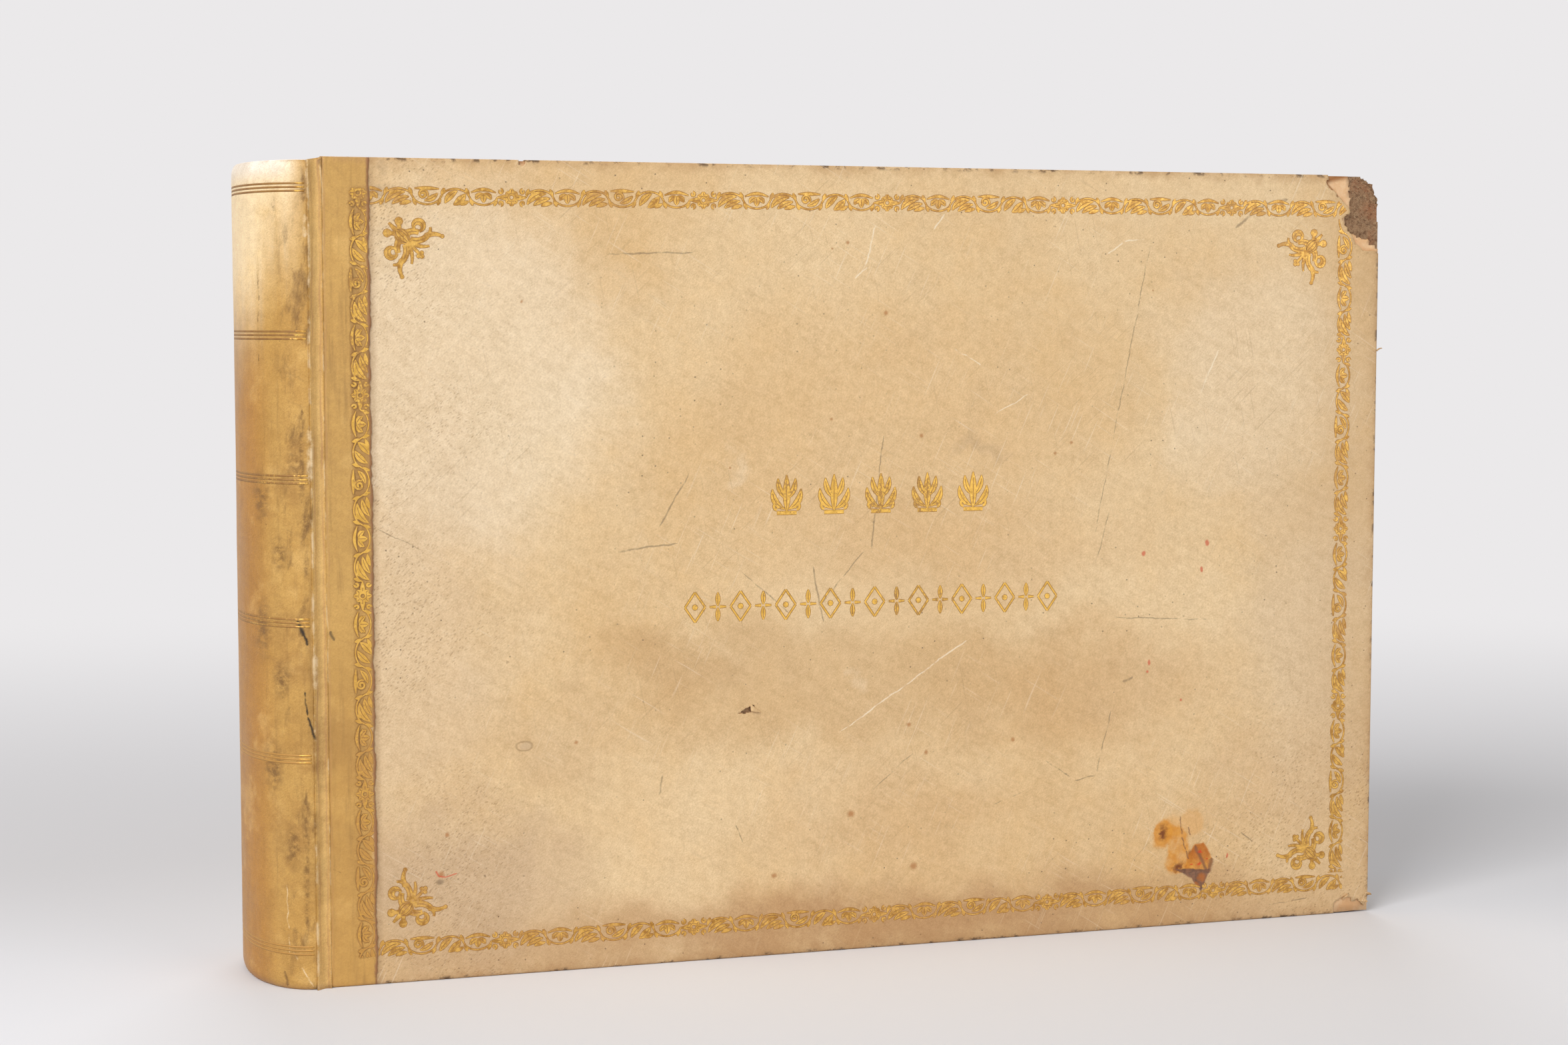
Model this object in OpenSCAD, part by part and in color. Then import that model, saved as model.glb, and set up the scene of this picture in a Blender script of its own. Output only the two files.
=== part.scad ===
// Oblong photograph album in a vellum binding with a rounded hollow back.
// It stands on its tail edge. X runs from the spine to the fore edge,
// the front cover faces minus Y and the head is up. Lengths are in mm.

/* [Covers] */
// Height of a cover with its vellum
cover_h = 350; // [260:1:450]
// Width of a cover from the joint to the fore edge
cover_w = 494; // [360:1:640]
// Thickness of the pasteboard
board_t = 4.4; // [3:0.1:7]
// How far the covers stand past the leaves
square_in = 5; // [4:0.5:9]
// Radius of the board corners at the fore edge
corner_r = 4; // [3:0.5:8]
// Width of the vellum turned in over the board edges
turn_in = 16; // [12:1:24]
// Distance of the pastedowns from the cover edges
paste_margin = 4; // [3:0.5:8]
// Width of the spine vellum where it laps on a board
lap_w = 19; // [14:1:30]

/* [Skins and papers] */
// Thickness of the side vellum
vellum_t = 0.6; // [0.4:0.1:1]
// Thickness of the paper between vellum and board
lining_t = 0.3; // [0.2:0.05:0.5]
// Thickness of the endpapers
paper_t = 0.3; // [0.2:0.05:0.5]
// Air between neighbouring sheets in the closed album
sheet_gap = 0.3; // [0.2:0.05:0.6]

/* [Spine] */
// Depth of the rounded spine past the joint
spine_depth = 26; // [18:0.5:34]
// Width of the flexible joint beside a board
joint_w = 6; // [5:0.5:9]
// How far the spine shoulders stand out past the covers
shoulder = 2; // [1.5:0.1:3]
// Thickness of the stiff pasteboard under the spine vellum
spine_card_t = 2.4; // [1.6:0.1:3]
// Thickness of the spine vellum
spine_skin_t = 0.8; // [0.5:0.1:1]
// How far the spine ends below the head of the boards
head_drop = 2.5; // [1:0.5:5]
// Height of the rounded caps at head and tail of the spine
cap_h = 5; // [3:0.5:8]
// Air between the spine and the lined back of the leaves
hollow = 1; // [0.6:0.1:2]

/* [Leaves and guards] */
// Thickness of a card leaf
leaf_t = 1.6; // [1.2:0.1:2]
// Thickness of the filling strip between two guards
fill_t = 1.45; // [1.2:0.05:2]
// Reach of the guards past the joint line
guard_reach = 8; // [6:0.5:14]
// Width of the bare linen between guard and leaf
hinge_gap = 3; // [2.6:0.2:5]
// Thickness of the hinge linen
linen_t = 0.4; // [0.3:0.05:0.6]
// Height of one sewing tape
tape_w = 18; // [12:1:24]
// Thickness of a sewing tape
tape_t = 0.8; // [0.5:0.1:1.2]
// Length of the tape ends pasted inside the boards
slip_len = 38; // [24:1:60]
// Thickness of the cloth glued over the sewn back
mull_t = 0.6; // [0.4:0.1:0.9]
// Distance of that cloth from the head and tail of the covers
mull_margin = 12; // [8:1:20]
// Width of the cloth strip on the outer guards
hinge_cloth_w = 10; // [6:0.5:12]
// Diameter of the headband and tailband
band_d = 3.6; // [3:0.2:4]

/* [Hidden] */
// Number of card leaves, half of them hung to each side of the middle
leaf_count = 24;
// Node to draw
leaf_pitch = leaf_t + fill_t;
block_t = leaf_count * leaf_pitch;
stack_t = 2 * vellum_t + lining_t + board_t + paper_t;
thick = block_t + 2 * (stack_t + paper_t + 2 * sheet_gap);
spine_h = cover_h - head_drop;
spine_a = thick / 2 + shoulder;
bulge = joint_w + spine_depth;
x_joint = bulge - (cover_w + bulge) / 2;
wall = 2 * spine_skin_t + spine_card_t;
back_off = wall + hollow + mull_t + tape_t;
leaf_end = cover_w - square_in;
leaf_h = cover_h - 2 * square_in;
worn_u = 12;
worn_z = 25;
arc_step = 5;
// Layers of the front cover, from the outer face inward
y_out = -thick / 2;
y_line = y_out + vellum_t;
y_board = y_line + lining_t;
y_inner = y_board + board_t;
y_paste = y_inner + vellum_t;
y_free = -block_t / 2 - sheet_gap - paper_t;
tape_z = [for (f = [0.14, 0.32, 0.5, 0.68, 0.86]) f * cover_h];

function leaf_name(k) = str("leaf_", k < 10 ? "0" : "", k);
function leaf_y(k) = (k - (leaf_count + 1) / 2) * leaf_pitch;

// Point on the spine's half ellipse at angle t, moved inward by off.
// Minus 90 is the front shoulder and plus 90 the back one.
function arc_at(t, off) =
    let(n = [-cos(t) / spine_depth, sin(t) / spine_a])
    [-joint_w - spine_depth * cos(t), spine_a * sin(t)] - off * n / norm(n);
function arc(off, t0 = -90, t1 = 90) =
    [for (t = [t0 : arc_step : t1]) arc_at(t, off)];
function flip(v) = [for (i = [len(v) - 1 : -1 : 0]) v[i]];

// Quarter of an ellipse for a board corner, starting at angle a
function corner(cu, cz, ru, rz, a) =
    [for (i = [0 : 8]) [cu + ru * cos(a + 11.25 * i), cz + rz * sin(a + 11.25 * i)]];

// Outline of a cover seen from the front, with an optional worn head corner
function cover_outline(inset, worn = false) =
    let(
        r = corner_r - inset,
        e = cover_w - inset,
        ru = worn ? worn_u : r,
        rz = worn ? worn_z : r
    )
    concat(
        [[0, inset]],
        corner(e - r, inset + r, r, r, -90),
        corner(e - ru, cover_h - inset - rz, ru, rz, 0),
        [[0, cover_h - inset]]
    );

// Where the vellum has torn away at the worn head corner of the front cover
vellum_tear = [
    [-23, 1], [-26, -4], [-20, -11], [-13.7, -16], [-17.5, -20],
    [-13.8, -26], [-8, -28.5], [1, -35], [1, 1]
];
// Where the paper under it has torn away
paper_tear = [
    [-15.4, 1], [-13.6, -9], [-13.2, -16], [-14, -24],
    [-7.6, -27.6], [-3, -31.4], [1, -34], [1, 1]
];
// Where the vellum has chipped at the tail corner
tail_chip = [[-18, -1], [-18, 5], [-13.7, 7.5], [-6.5, 5.6], [-4, 3], [-4, -1]];

// Flat plate of a given outline between two depths
module plate(outline, y0, y1) {
    translate([0, y1, 0])
        rotate([90, 0, 0])
            linear_extrude(height = y1 - y0)
                polygon(outline);
}

// Covering skin with its turned in edges, between two places along the cover
module skin(u0, u1, worn = false) {
    difference() {
        intersection() {
            plate(cover_outline(0, worn), y_out, y_paste);
            translate([u0, y_out - 1, -1])
                cube([u1 - u0, stack_t + 2, cover_h + 2]);
        }
        plate(cover_outline(vellum_t, worn), y_line, y_inner);
        translate([-1, y_inner - 0.1, turn_in])
            cube([cover_w - turn_in + 1, stack_t, cover_h - 2 * turn_in]);
    }
}

// Upright shell between two depths below the spine's face
module shell(off0, off1, z0, z1, t0 = -90, t1 = 90) {
    translate([0, 0, z0])
        linear_extrude(height = z1 - z0)
            polygon(concat(arc(off0, t0, t1), flip(arc(off1, t0, t1))));
}

// Solid swept along the spine curve, profile points given as depth and height
module sweep(profile, t0, t1) {
    m = len(profile);
    n = (t1 - t0) / arc_step;
    pts = [for (i = [0 : n]) for (p = profile)
        let(q = arc_at(t0 + arc_step * i, p[0])) [q[0], q[1], p[1]]];
    sides = [for (i = [0 : n - 1]) for (j = [0 : m - 1])
        [i * m + j, i * m + (j + 1) % m, (i + 1) * m + (j + 1) % m, (i + 1) * m + j]];
    first = [for (j = [m - 1 : -1 : 0]) j];
    last = [for (j = [0 : m - 1]) n * m + j];
    polyhedron(points = pts, faces = concat([first, last], sides), convexity = 6);
}

// Upright strip of the sewn block, cut to the rounded back
module back_strip(y0, y1, reach) {
    translate([0, 0, square_in])
        linear_extrude(height = leaf_h)
            intersection() {
                polygon(concat(arc(back_off), [[guard_reach + 1, spine_a], [guard_reach + 1, -spine_a]]));
                translate([-bulge, y0])
                    square([bulge + reach, y1 - y0]);
            }
}

// Pasteboard of a cover
module board(worn = false) {
    color("#8a6a48")
        plate(cover_outline(vellum_t, worn), y_board, y_inner);
}

// Paper pasted to the outside of the board, under the vellum
module lining(worn = false) {
    color("#e3b48e")
        difference() {
            plate(cover_outline(vellum_t, worn), y_line, y_board);
            if (worn)
                translate([cover_w, 0, cover_h])
                    plate(paper_tear, y_line - 1, y_board + 1);
        }
}

// Side vellum with its turned in edges
module side_vellum(worn = false) {
    color("#d9c7a6")
        difference() {
            skin(lap_w, cover_w + 1, worn);
            if (worn) {
                translate([cover_w, 0, cover_h])
                    plate(vellum_tear, y_out - 1, y_inner);
                translate([cover_w, 0, 0])
                    plate(tail_chip, y_out - 1, y_line);
            }
        }
}

// Spine vellum where it laps on the board
module lap() {
    color("#c79f55")
        skin(0, lap_w);
}

// Card that levels the inside of the board with the turned in edges
module infill() {
    color("#cdbb98")
        translate([slip_len + 2, y_inner, turn_in + 1])
            cube([
                cover_w - turn_in - slip_len - 3,
                vellum_t,
                cover_h - 2 * turn_in - 2
            ]);
}

// Ends of the sewing tapes, pasted to the inside of the board
module slips() {
    color("#b9a888")
        for (z = tape_z)
            translate([1, y_inner, z - tape_w / 2])
                cube([slip_len, vellum_t, tape_w]);
}

// Endpaper pasted over the inside of the board
module pastedown(worn = false) {
    color("#e6dcc3")
        intersection() {
            plate(cover_outline(3, worn), y_paste, y_paste + paper_t);
            translate([0, y_paste - 1, paste_margin])
                cube([cover_w - paste_margin, paper_t + 2, cover_h - 2 * paste_margin]);
        }
}

// Vellum over the spine, turned in round the card at head and tail
module spine_vellum() {
    w = wall;
    k = spine_skin_t;
    h = spine_h;
    c = cap_h;
    head = [for (a = [0 : 15 : 90])
        [0.55 * w * (1 - cos(a)), h - c + c * sin(a)]];
    tail = [for (a = [90 : -15 : 0])
        [0.55 * w * (1 - cos(a)), c - c * sin(a)]];
    color("#c79f55")
        sweep(concat(
            head,
            [[w, h], [w, h - turn_in], [w - k, h - turn_in], [w - k, h - c]],
            [[k, h - c], [k, c], [w - k, c], [w - k, turn_in]],
            [[w, turn_in], [w, 0]],
            tail
        ), -90, 90);
}

// Stiff pasteboard that holds the round of the spine
module spine_card() {
    color("#7d603f")
        shell(spine_skin_t, wall - spine_skin_t, cap_h, spine_h - cap_h);
}

// Flexible vellum strip between the spine shoulder and the board
module joint() {
    reach = joint_w - 0.3;
    line = [for (i = [0 : 10])
        [-joint_w + reach * i / 10, -thick / 2 - shoulder * (1 + cos(18 * i)) / 2]];
    color("#b98f4a")
        linear_extrude(height = spine_h)
            polygon(concat(line, [for (p = flip(line)) p + [0, spine_skin_t]]));
}

// Cloth strip on the outer guard, hidden by the endpapers
module hinge_cloth() {
    color("#b9a888")
        translate([-hinge_cloth_w, -block_t / 2 - sheet_gap, square_in])
            cube([hinge_cloth_w, sheet_gap, leaf_h]);
}

// Cloth glued over the rounded back and the tapes
module spine_mull() {
    color("#cfc3a6")
        shell(wall + hollow, wall + hollow + mull_t, mull_margin, cover_h - mull_margin, -75, 75);
}

// Linen tapes that the guards are sewn on
module sewing_tapes() {
    color("#b9a888")
        for (z = tape_z)
            shell(
                back_off - tape_t, back_off,
                z - tape_w / 2, z + tape_w / 2,
                -70, 70
            );
}

// Guards that the leaves hang on, their back edges cut to the round
module guards() {
    color("#dccfae")
        for (k = [1 : leaf_count])
            back_strip(leaf_y(k) - leaf_t / 2, leaf_y(k) + leaf_t / 2, guard_reach);
}

// Short strips that keep room between the leaves for mounted prints
module guard_fills() {
    color("#c9b98f")
        for (k = [0 : leaf_count]) {
            y = -block_t / 2 + k * leaf_pitch;
            y0 = k == 0 ? y : y - fill_t / 2;
            y1 = k == leaf_count ? y : y + fill_t / 2;
            back_strip(y0, y1, guard_reach - 5);
        }
}

// Linen strips that carry the leaves on the guards
module leaf_linens() {
    color("#cbbd99")
        for (k = [1 : leaf_count])
            translate([guard_reach, leaf_y(k) - linen_t / 2, square_in + 2])
                cube([hinge_gap - 0.4, linen_t, leaf_h - 4]);
}

// Silk wound band along the back edge of the block
module endband(z) {
    r = band_d / 2;
    color("#b58d4a")
        sweep(
            [for (a = [330 : -30 : 0]) [back_off + r + r * cos(a), z + r * sin(a)]],
            -60, 60
        );
}

// Free endpaper beside a cover
module flyleaf() {
    color("#e6dcc3")
        translate([3, y_free, square_in + 0.5])
            cube([leaf_end - 4, paper_t, leaf_h - 1]);
}

// Card leaf
module leaf(k) {
    color("#e2d6b8")
        translate([guard_reach + hinge_gap, leaf_y(k) - leaf_t / 2, square_in])
            cube([leaf_end - guard_reach - hinge_gap, leaf_t, leaf_h]);
}

// Puts a piece at the joint line, on the front or mirrored to the back
module at_front() {
    translate([x_joint, 0, 0])
        children();
}
module at_back() {
    translate([x_joint, 0, 0])
        mirror([0, 1, 0])
            children();
}

at_front() board(true);  // front_board
at_front() lining(true);  // front_lining
at_front() side_vellum(true);  // front_vellum
at_front() lap();  // front_lap
at_front() infill();  // front_infill
at_front() slips();  // front_slips
at_front() pastedown(true);  // front_pastedown
at_back() board();  // back_board
at_back() lining();  // back_lining
at_back() side_vellum();  // back_vellum
at_back() lap();  // back_lap
at_back() infill();  // back_infill
at_back() slips();  // back_slips
at_back() pastedown();  // back_pastedown
at_front() spine_vellum();
at_front() spine_card();
at_front() joint();  // front_joint
at_back() joint();  // back_joint
at_front() hinge_cloth();  // front_hinge_cloth
at_back() hinge_cloth();  // back_hinge_cloth
at_front() spine_mull();
at_front() sewing_tapes();
at_front() guards();
at_front() guard_fills();
at_front() leaf_linens();
at_front() endband(cover_h - square_in + band_d / 2);  // headband
at_front() endband(square_in - band_d / 2);  // tailband
at_front() flyleaf();  // front_flyleaf
at_back() flyleaf();  // back_flyleaf
for (k = [1 : leaf_count])
    at_front() leaf(k);
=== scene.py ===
import math
import random

import bmesh
import bpy
from mathutils import Matrix, Vector, noise


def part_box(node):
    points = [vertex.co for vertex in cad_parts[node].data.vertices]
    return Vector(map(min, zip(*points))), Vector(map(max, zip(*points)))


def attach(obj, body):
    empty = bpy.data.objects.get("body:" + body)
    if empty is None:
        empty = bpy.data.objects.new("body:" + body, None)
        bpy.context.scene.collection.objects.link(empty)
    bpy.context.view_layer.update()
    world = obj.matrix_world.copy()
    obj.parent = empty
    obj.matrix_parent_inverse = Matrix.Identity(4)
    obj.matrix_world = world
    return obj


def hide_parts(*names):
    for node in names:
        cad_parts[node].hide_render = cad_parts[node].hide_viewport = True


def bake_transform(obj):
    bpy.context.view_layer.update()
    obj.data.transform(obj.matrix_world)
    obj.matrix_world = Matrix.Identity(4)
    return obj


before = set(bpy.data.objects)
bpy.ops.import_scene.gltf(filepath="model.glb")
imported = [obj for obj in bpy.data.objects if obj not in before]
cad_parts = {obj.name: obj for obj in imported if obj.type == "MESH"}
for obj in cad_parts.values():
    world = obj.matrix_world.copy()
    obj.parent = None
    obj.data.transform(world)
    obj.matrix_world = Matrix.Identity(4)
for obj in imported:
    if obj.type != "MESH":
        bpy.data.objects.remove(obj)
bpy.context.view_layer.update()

# Studio: a pale paper floor, with a painted shadow band on it, that runs off into a plain backdrop, lit by
# broad soft lamps.
# The camera stands at the photograph's angle, worked out for a frame of 2353 by 1568.
MM = 0.001


def tone(red, green, blue):
    """A colour given in screen values from 0 to 255, as linear light."""
    shares = [part / 255 for part in (red, green, blue)]
    return (*[s / 12.92 if s <= 0.04045 else ((s + 0.055) / 1.055) ** 2.4 for s in shares], 1.0)


class Shader:
    """Short calls that add nodes to one shader tree and hand back an output socket."""

    def __init__(self, tree, surface=None):
        self.tree = tree
        self.surface = surface

    def node(self, kind, feeds=None, **settings):
        made = self.tree.nodes.new("ShaderNode" + kind)
        for name, value in settings.items():
            setattr(made, name, value)
        for socket, value in (feeds or {}).items():
            self.feed(made.inputs[socket], value)
        return made

    def feed(self, socket, value):
        if isinstance(value, bpy.types.NodeSocket):
            self.tree.links.new(value, socket)
        else:
            socket.default_value = value

    def maths(self, operation, *values):
        return self.node("Math", dict(enumerate(values)), operation=operation).outputs[0]

    def times(self, first, *others):
        for value in others:
            first = self.maths("MULTIPLY", first, value)
        return first

    def plus(self, first, second):
        return self.maths("ADD", first, second)

    def minus(self, first, second):
        return self.maths("SUBTRACT", first, second)

    def larger(self, first, second):
        return self.maths("MAXIMUM", first, second)

    def smaller(self, first, second):
        return self.maths("MINIMUM", first, second)

    def gap(self, first, second):
        """How far one value lies from another."""
        return self.maths("ABSOLUTE", self.minus(first, second))

    def axes(self, place):
        return self.node("SeparateXYZ", {0: place}).outputs

    def joined(self, x=0.0, y=0.0, z=0.0):
        return self.node("CombineXYZ", {"X": x, "Y": y, "Z": z}).outputs[0]

    def vector(self, operation, *values):
        made = self.node("VectorMath", dict(enumerate(values)), operation=operation)
        return made.outputs[1 if operation in ("LENGTH", "DOT_PRODUCT", "DISTANCE") else 0]

    def mix(self, factor, first, second, blend="MIX"):
        feeds = {0: factor, 6: first, 7: second}
        return self.node("Mix", feeds, data_type="RGBA", blend_type=blend).outputs[2]

    def rise(self, value, low, high, top=1.0):
        """0 below low, top above high and a smooth rise between them."""
        feeds = {"Value": value, "From Min": low, "From Max": high, "To Max": top}
        return self.node("MapRange", feeds, interpolation_type="SMOOTHSTEP").outputs[0]

    def fall(self, value, low, high, top=1.0):
        """top below low, 0 above high and a smooth fall between them."""
        feeds = {"Value": value, "From Min": low, "From Max": high, "To Min": top, "To Max": 0.0}
        return self.node("MapRange", feeds, interpolation_type="SMOOTHSTEP").outputs[0]

    def noise(self, place, scale, detail=3.0, rough=0.55):
        feeds = {"Vector": place, "Scale": scale, "Detail": detail, "Roughness": rough}
        return self.node("TexNoise", feeds).outputs[0]

    def turned(self, place, degrees, scale):
        """Coordinates turned in the plane of a cover and stretched along their own axes."""
        feeds = {"Vector": place, "Rotation": (0, math.radians(degrees), 0), "Scale": scale}
        return self.node("Mapping", feeds, vector_type="TEXTURE").outputs[0]

    def shaken(self, place, scale, reach, detail=4.0):
        """Coordinates pushed about by noise, up to about half of reach."""
        feeds = {"Vector": place, "Scale": scale, "Detail": detail, "Roughness": 0.6}
        push = self.node("TexNoise", feeds).outputs["Color"]
        push = self.vector("SUBTRACT", push, (0.5, 0.5, 0.5))
        push = self.node("VectorMath", {0: push, "Scale": reach}, operation="SCALE").outputs[0]
        return self.vector("ADD", place, push)

    def group(self, tree, feeds):
        return self.node("Group", feeds, node_tree=tree).outputs

    def to_line(self, place, start, end):
        """Distance of a place from the line between two points, and the share of the line there."""
        reach = self.vector("SUBTRACT", place, start)
        span = self.vector("SUBTRACT", end, start)
        length_squared = self.vector("DOT_PRODUCT", span, span)
        share = self.maths("DIVIDE", self.vector("DOT_PRODUCT", reach, span), length_squared)
        share = self.node("Clamp", {0: share}).outputs[0]
        foot = self.node("VectorMath", {0: span, "Scale": share}, operation="SCALE").outputs[0]
        return self.vector("DISTANCE", reach, foot), share

    def dress(self, colour, relief=None, strength=0.0, depth=0.0):
        """Gives the surface its colour and, where a relief is given, a bump of some depth."""
        self.feed(self.surface["Base Color"], colour)
        if relief is not None:
            feeds = {"Strength": strength, "Distance": depth, "Height": relief}
            self.feed(self.surface["Normal"], self.node("Bump", feeds).outputs[0])


def start_material(name, roughness=0.6, specular=0.3):
    """An empty material, the shader calls for it and Object coordinates."""
    material = bpy.data.materials.new(name)
    material.use_nodes = True
    shader = Shader(material.node_tree, material.node_tree.nodes["Principled BSDF"].inputs)
    shader.feed(shader.surface["Roughness"], roughness)
    shader.feed(shader.surface["Specular IOR Level"], specular)
    return material, shader, shader.node("TexCoord").outputs["Object"]


def make_piece(name, bm, *materials, crease=40, smooth=True):
    """Turns a finished bmesh into an object, smooth but for edges sharper than crease degrees."""
    mesh = bpy.data.meshes.new(name)
    for face in bm.faces:
        face.smooth = smooth
    bm.to_mesh(mesh)
    bm.free()
    if smooth:
        mesh.set_sharp_from_angle(angle=math.radians(crease))
    for material in materials:
        mesh.materials.append(material)
    piece = bpy.data.objects.new(name, mesh)
    bpy.context.scene.collection.objects.link(piece)
    return piece


def shown_rays(shader):
    """1 where a ray comes from the camera or from a mirror or glass surface."""
    path = shader.node("LightPath").outputs
    mirrored = shader.larger(path["Is Glossy Ray"], path["Is Transmission Ray"])
    return shader.larger(path["Is Camera Ray"], mirrored)


backdrop_tone = tone(235, 233, 234)
floor_tone = tone(232, 233, 238)
floor_painted_shadow = tone(214, 213, 216)
floor_half = 30.0
pale_from = (-0.25, -1.04, 0)

world = bpy.data.worlds.new("studio_air")
bpy.context.scene.world = world
world.use_nodes = True
world.node_tree.nodes.clear()
air = Shader(world.node_tree)
air_light = air.node("Background", {"Color": tone(255, 254, 252), "Strength": 0.38}).outputs[0]
air_shown = air.node("Background", {"Color": backdrop_tone, "Strength": 1.0}).outputs[0]
air_mix = air.node("MixShader", {0: shown_rays(air), 1: air_light, 2: air_shown}).outputs[0]
air.node("OutputWorld", {"Surface": air_mix})

paper_floor, shader, place = start_material("paper_floor", 0.9, 0.0)
# Painted shadow: the floor darkens in a soft band about a metre from pale_from, then fades into the
# backdrop's tone
away = shader.vector("DISTANCE", place, pale_from)
floor_with_shadow_band = shader.mix(shader.rise(away, 0.95, 1.32), floor_tone, floor_painted_shadow)
gone = shader.rise(away, 1.3, 2.5)
shader.dress(shader.mix(gone, floor_with_shadow_band, (0, 0, 0, 1)))
shader.feed(shader.surface["Emission Color"], backdrop_tone)
shader.feed(shader.surface["Emission Strength"], shader.times(gone, shown_rays(shader)))

bm = bmesh.new()
bmesh.ops.create_grid(bm, x_segments=8, y_segments=8, size=floor_half)
floor = make_piece("floor", bm, paper_floor)


def soft_lamp(name, place, aim, width, power, warmth=(1, 1, 1)):
    """Square lamp of a given width that looks at a point."""
    data = bpy.data.lights.new(name, "AREA")
    data.size = width
    data.energy = power
    data.color = warmth
    lamp = bpy.data.objects.new(name, data)
    lamp.location = place
    lamp.rotation_euler = (Vector(aim) - Vector(place)).to_track_quat("-Z", "Y").to_euler()
    bpy.context.scene.collection.objects.link(lamp)


album_middle = (0, 0, 0.18)
soft_lamp("key_lamp", (-1.9, -1.7, 2.2), album_middle, 1.5, 69, (1, 0.985, 0.965))
soft_lamp("fill_lamp", (1.5, -2.3, 1.0), album_middle, 1.8, 17)
soft_lamp("back_lamp", (0.4, 2.2, 1.8), album_middle, 1.6, 24)

photo_camera = bpy.data.objects.new("photo_camera", bpy.data.cameras.new("photo_camera"))
photo_camera.data.sensor_width = 36
photo_camera.data.lens = 60.54
photo_camera.location = (-0.3749, -1.1504, 0.2811)
photo_camera.rotation_euler = [math.radians(a) for a in (85.672, 0, -17.298)]
bpy.context.scene.collection.objects.link(photo_camera)
bpy.context.scene.camera = photo_camera
bpy.context.scene.view_settings.view_transform = "Standard"

# Boards: sheets of brown pulp pasted together and pressed. The front one has lost its
# head corner to wear, so its plies have come apart there and show.
lap_low, lap_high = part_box("front_lap")
skin_low, skin_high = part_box("front_vellum")
board_low, board_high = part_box("front_board")
joint_x = lap_low.x
lap_x = lap_high.x
fore_x = skin_high.x
head_z = skin_high.z
front_y = skin_low.y
ply_count = 4
worn_head = [
    (3, 3), (-17, 3), (-17, -0.6), (-12.6, -1.2), (-7.6, -4), (-5.4, -5), (-3, -9.4), (-1.4, -14),
    (-0.6, -24), (3, -26),
]
split_ply = 1
split_back = 1.3
ply_solid = 0.94
tail_round_mm = 8.0
tail_start_mm = 8.6
tail_round = tail_round_mm * MM
coarse_cell = 26 * MM
pulp_brown = tone(176, 140, 106)
pulp_dark = tone(134, 100, 74)
pulp_pale = tone(214, 186, 148)
pulp_red = tone(172, 112, 78)
pulp_speck = tone(84, 56, 40)


def upright_grid(low_x, high_x, low_z, high_z, cell):
    """Sheet of square cells that stands in the plane y = 0 and faces minus Y."""
    width, height = high_x - low_x, high_z - low_z
    bm = bmesh.new()
    bmesh.ops.create_grid(
        bm, x_segments=max(1, round(width / cell)), y_segments=max(1, round(height / cell)), size=0.5
    )
    middle = Matrix.Translation(((low_x + high_x) / 2, 0, (low_z + high_z) / 2))
    stand = Matrix.Rotation(math.radians(90), 4, "X")
    size = Matrix.Diagonal((width, height, 1, 1))
    bmesh.ops.transform(bm, matrix=middle @ stand @ size, verts=bm.verts)
    return bm


def limited(value):
    """A value kept between 0 and 1."""
    return min(1, max(0, value))


def ripple(x, z, scale, seed):
    """Steady noise from -1 to 1 over the plane of a cover."""
    return noise.noise(Vector((x * scale, seed, z * scale)))


def edges_of(points):
    """Each point of a closed outline with the one after it."""
    return list(zip(points, points[1:] + points[:1]))


def flat_place(v):
    """Place of a vertex in the plane y = 0."""
    return Vector((v.co.x, 0, v.co.z))


def deepen(bm, depth):
    """Gives a sheet a depth along Y, with a rim all round."""
    grown = bmesh.ops.extrude_face_region(bm, geom=bm.faces[:])["geom"]
    far_side = [g for g in grown if isinstance(g, bmesh.types.BMVert)]
    bmesh.ops.translate(bm, vec=(0, depth, 0), verts=far_side)
    bmesh.ops.recalc_face_normals(bm, faces=bm.faces)


def refine(bm, spot, reach, passes):
    """Cuts the cells that lie within reach of a spot into smaller ones."""
    for _ in range(passes):
        near = [f for f in bm.faces if (f.calc_center_median() - spot).length < reach]
        edges = list({e for f in near for e in f.edges})
        bmesh.ops.subdivide_edges(bm, edges=edges, cuts=1, use_grid_fill=True)


def wander(point, rough, scale, seed):
    """Small steady offset of a point in x and z, for torn and worn lines."""
    spot = Vector((point.x * scale, seed, point.z * scale))
    return Vector((noise.noise(spot), 0, noise.noise(spot + Vector((7.3, 2.1, 4.7))))) * rough


def torn_outline(corner, points, rough, seed):
    """Closed outline through points in mm from a corner, roughened as a tear is."""
    outline = []
    ends = [Vector((corner.x + du * MM, 0, corner.z + dz * MM)) for du, dz in points]
    for here, ahead in edges_of(ends):
        count = max(1, round((ahead - here).length / (1.2 * MM)))
        for k in range(count):
            spot = here.lerp(ahead, k / count)
            outline.append(spot + wander(spot, rough, 900, seed))
    return outline


def inside(point, outline):
    """True if a point lies inside a closed outline, seen along Y."""
    crossings = 0
    for a, b in edges_of(outline):
        if (a.z > point.z) != (b.z > point.z):
            share = (point.z - a.z) / (b.z - a.z)
            crossings += point.x < a.x + share * (b.x - a.x)
    return crossings % 2 == 1


def cut_away(bm, outline, reach):
    """Draws vertices near a closed outline on to it and removes the faces inside it."""
    for v in bm.verts:
        flat = flat_place(v)
        nearest, best = None, reach
        for a, b in edges_of(outline):
            span = b - a
            share = limited((flat - a).dot(span) / max(span.length_squared, 1e-12))
            foot = a + span * share
            if (flat - foot).length < best:
                nearest, best = foot, (flat - foot).length
        if nearest:
            v.co.x, v.co.z = nearest.x, nearest.z
    gone = [f for f in bm.faces if inside(f.calc_center_median(), outline)]
    bmesh.ops.delete(bm, geom=gone, context="FACES")


def join_copy(target, source, matrix=Matrix.Identity(4)):
    """Adds a copy of one bmesh to another, moved by a matrix."""
    part = bpy.data.meshes.new("part")
    source.to_mesh(part)
    part.transform(matrix)
    target.from_mesh(part)
    bpy.data.meshes.remove(part)


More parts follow.
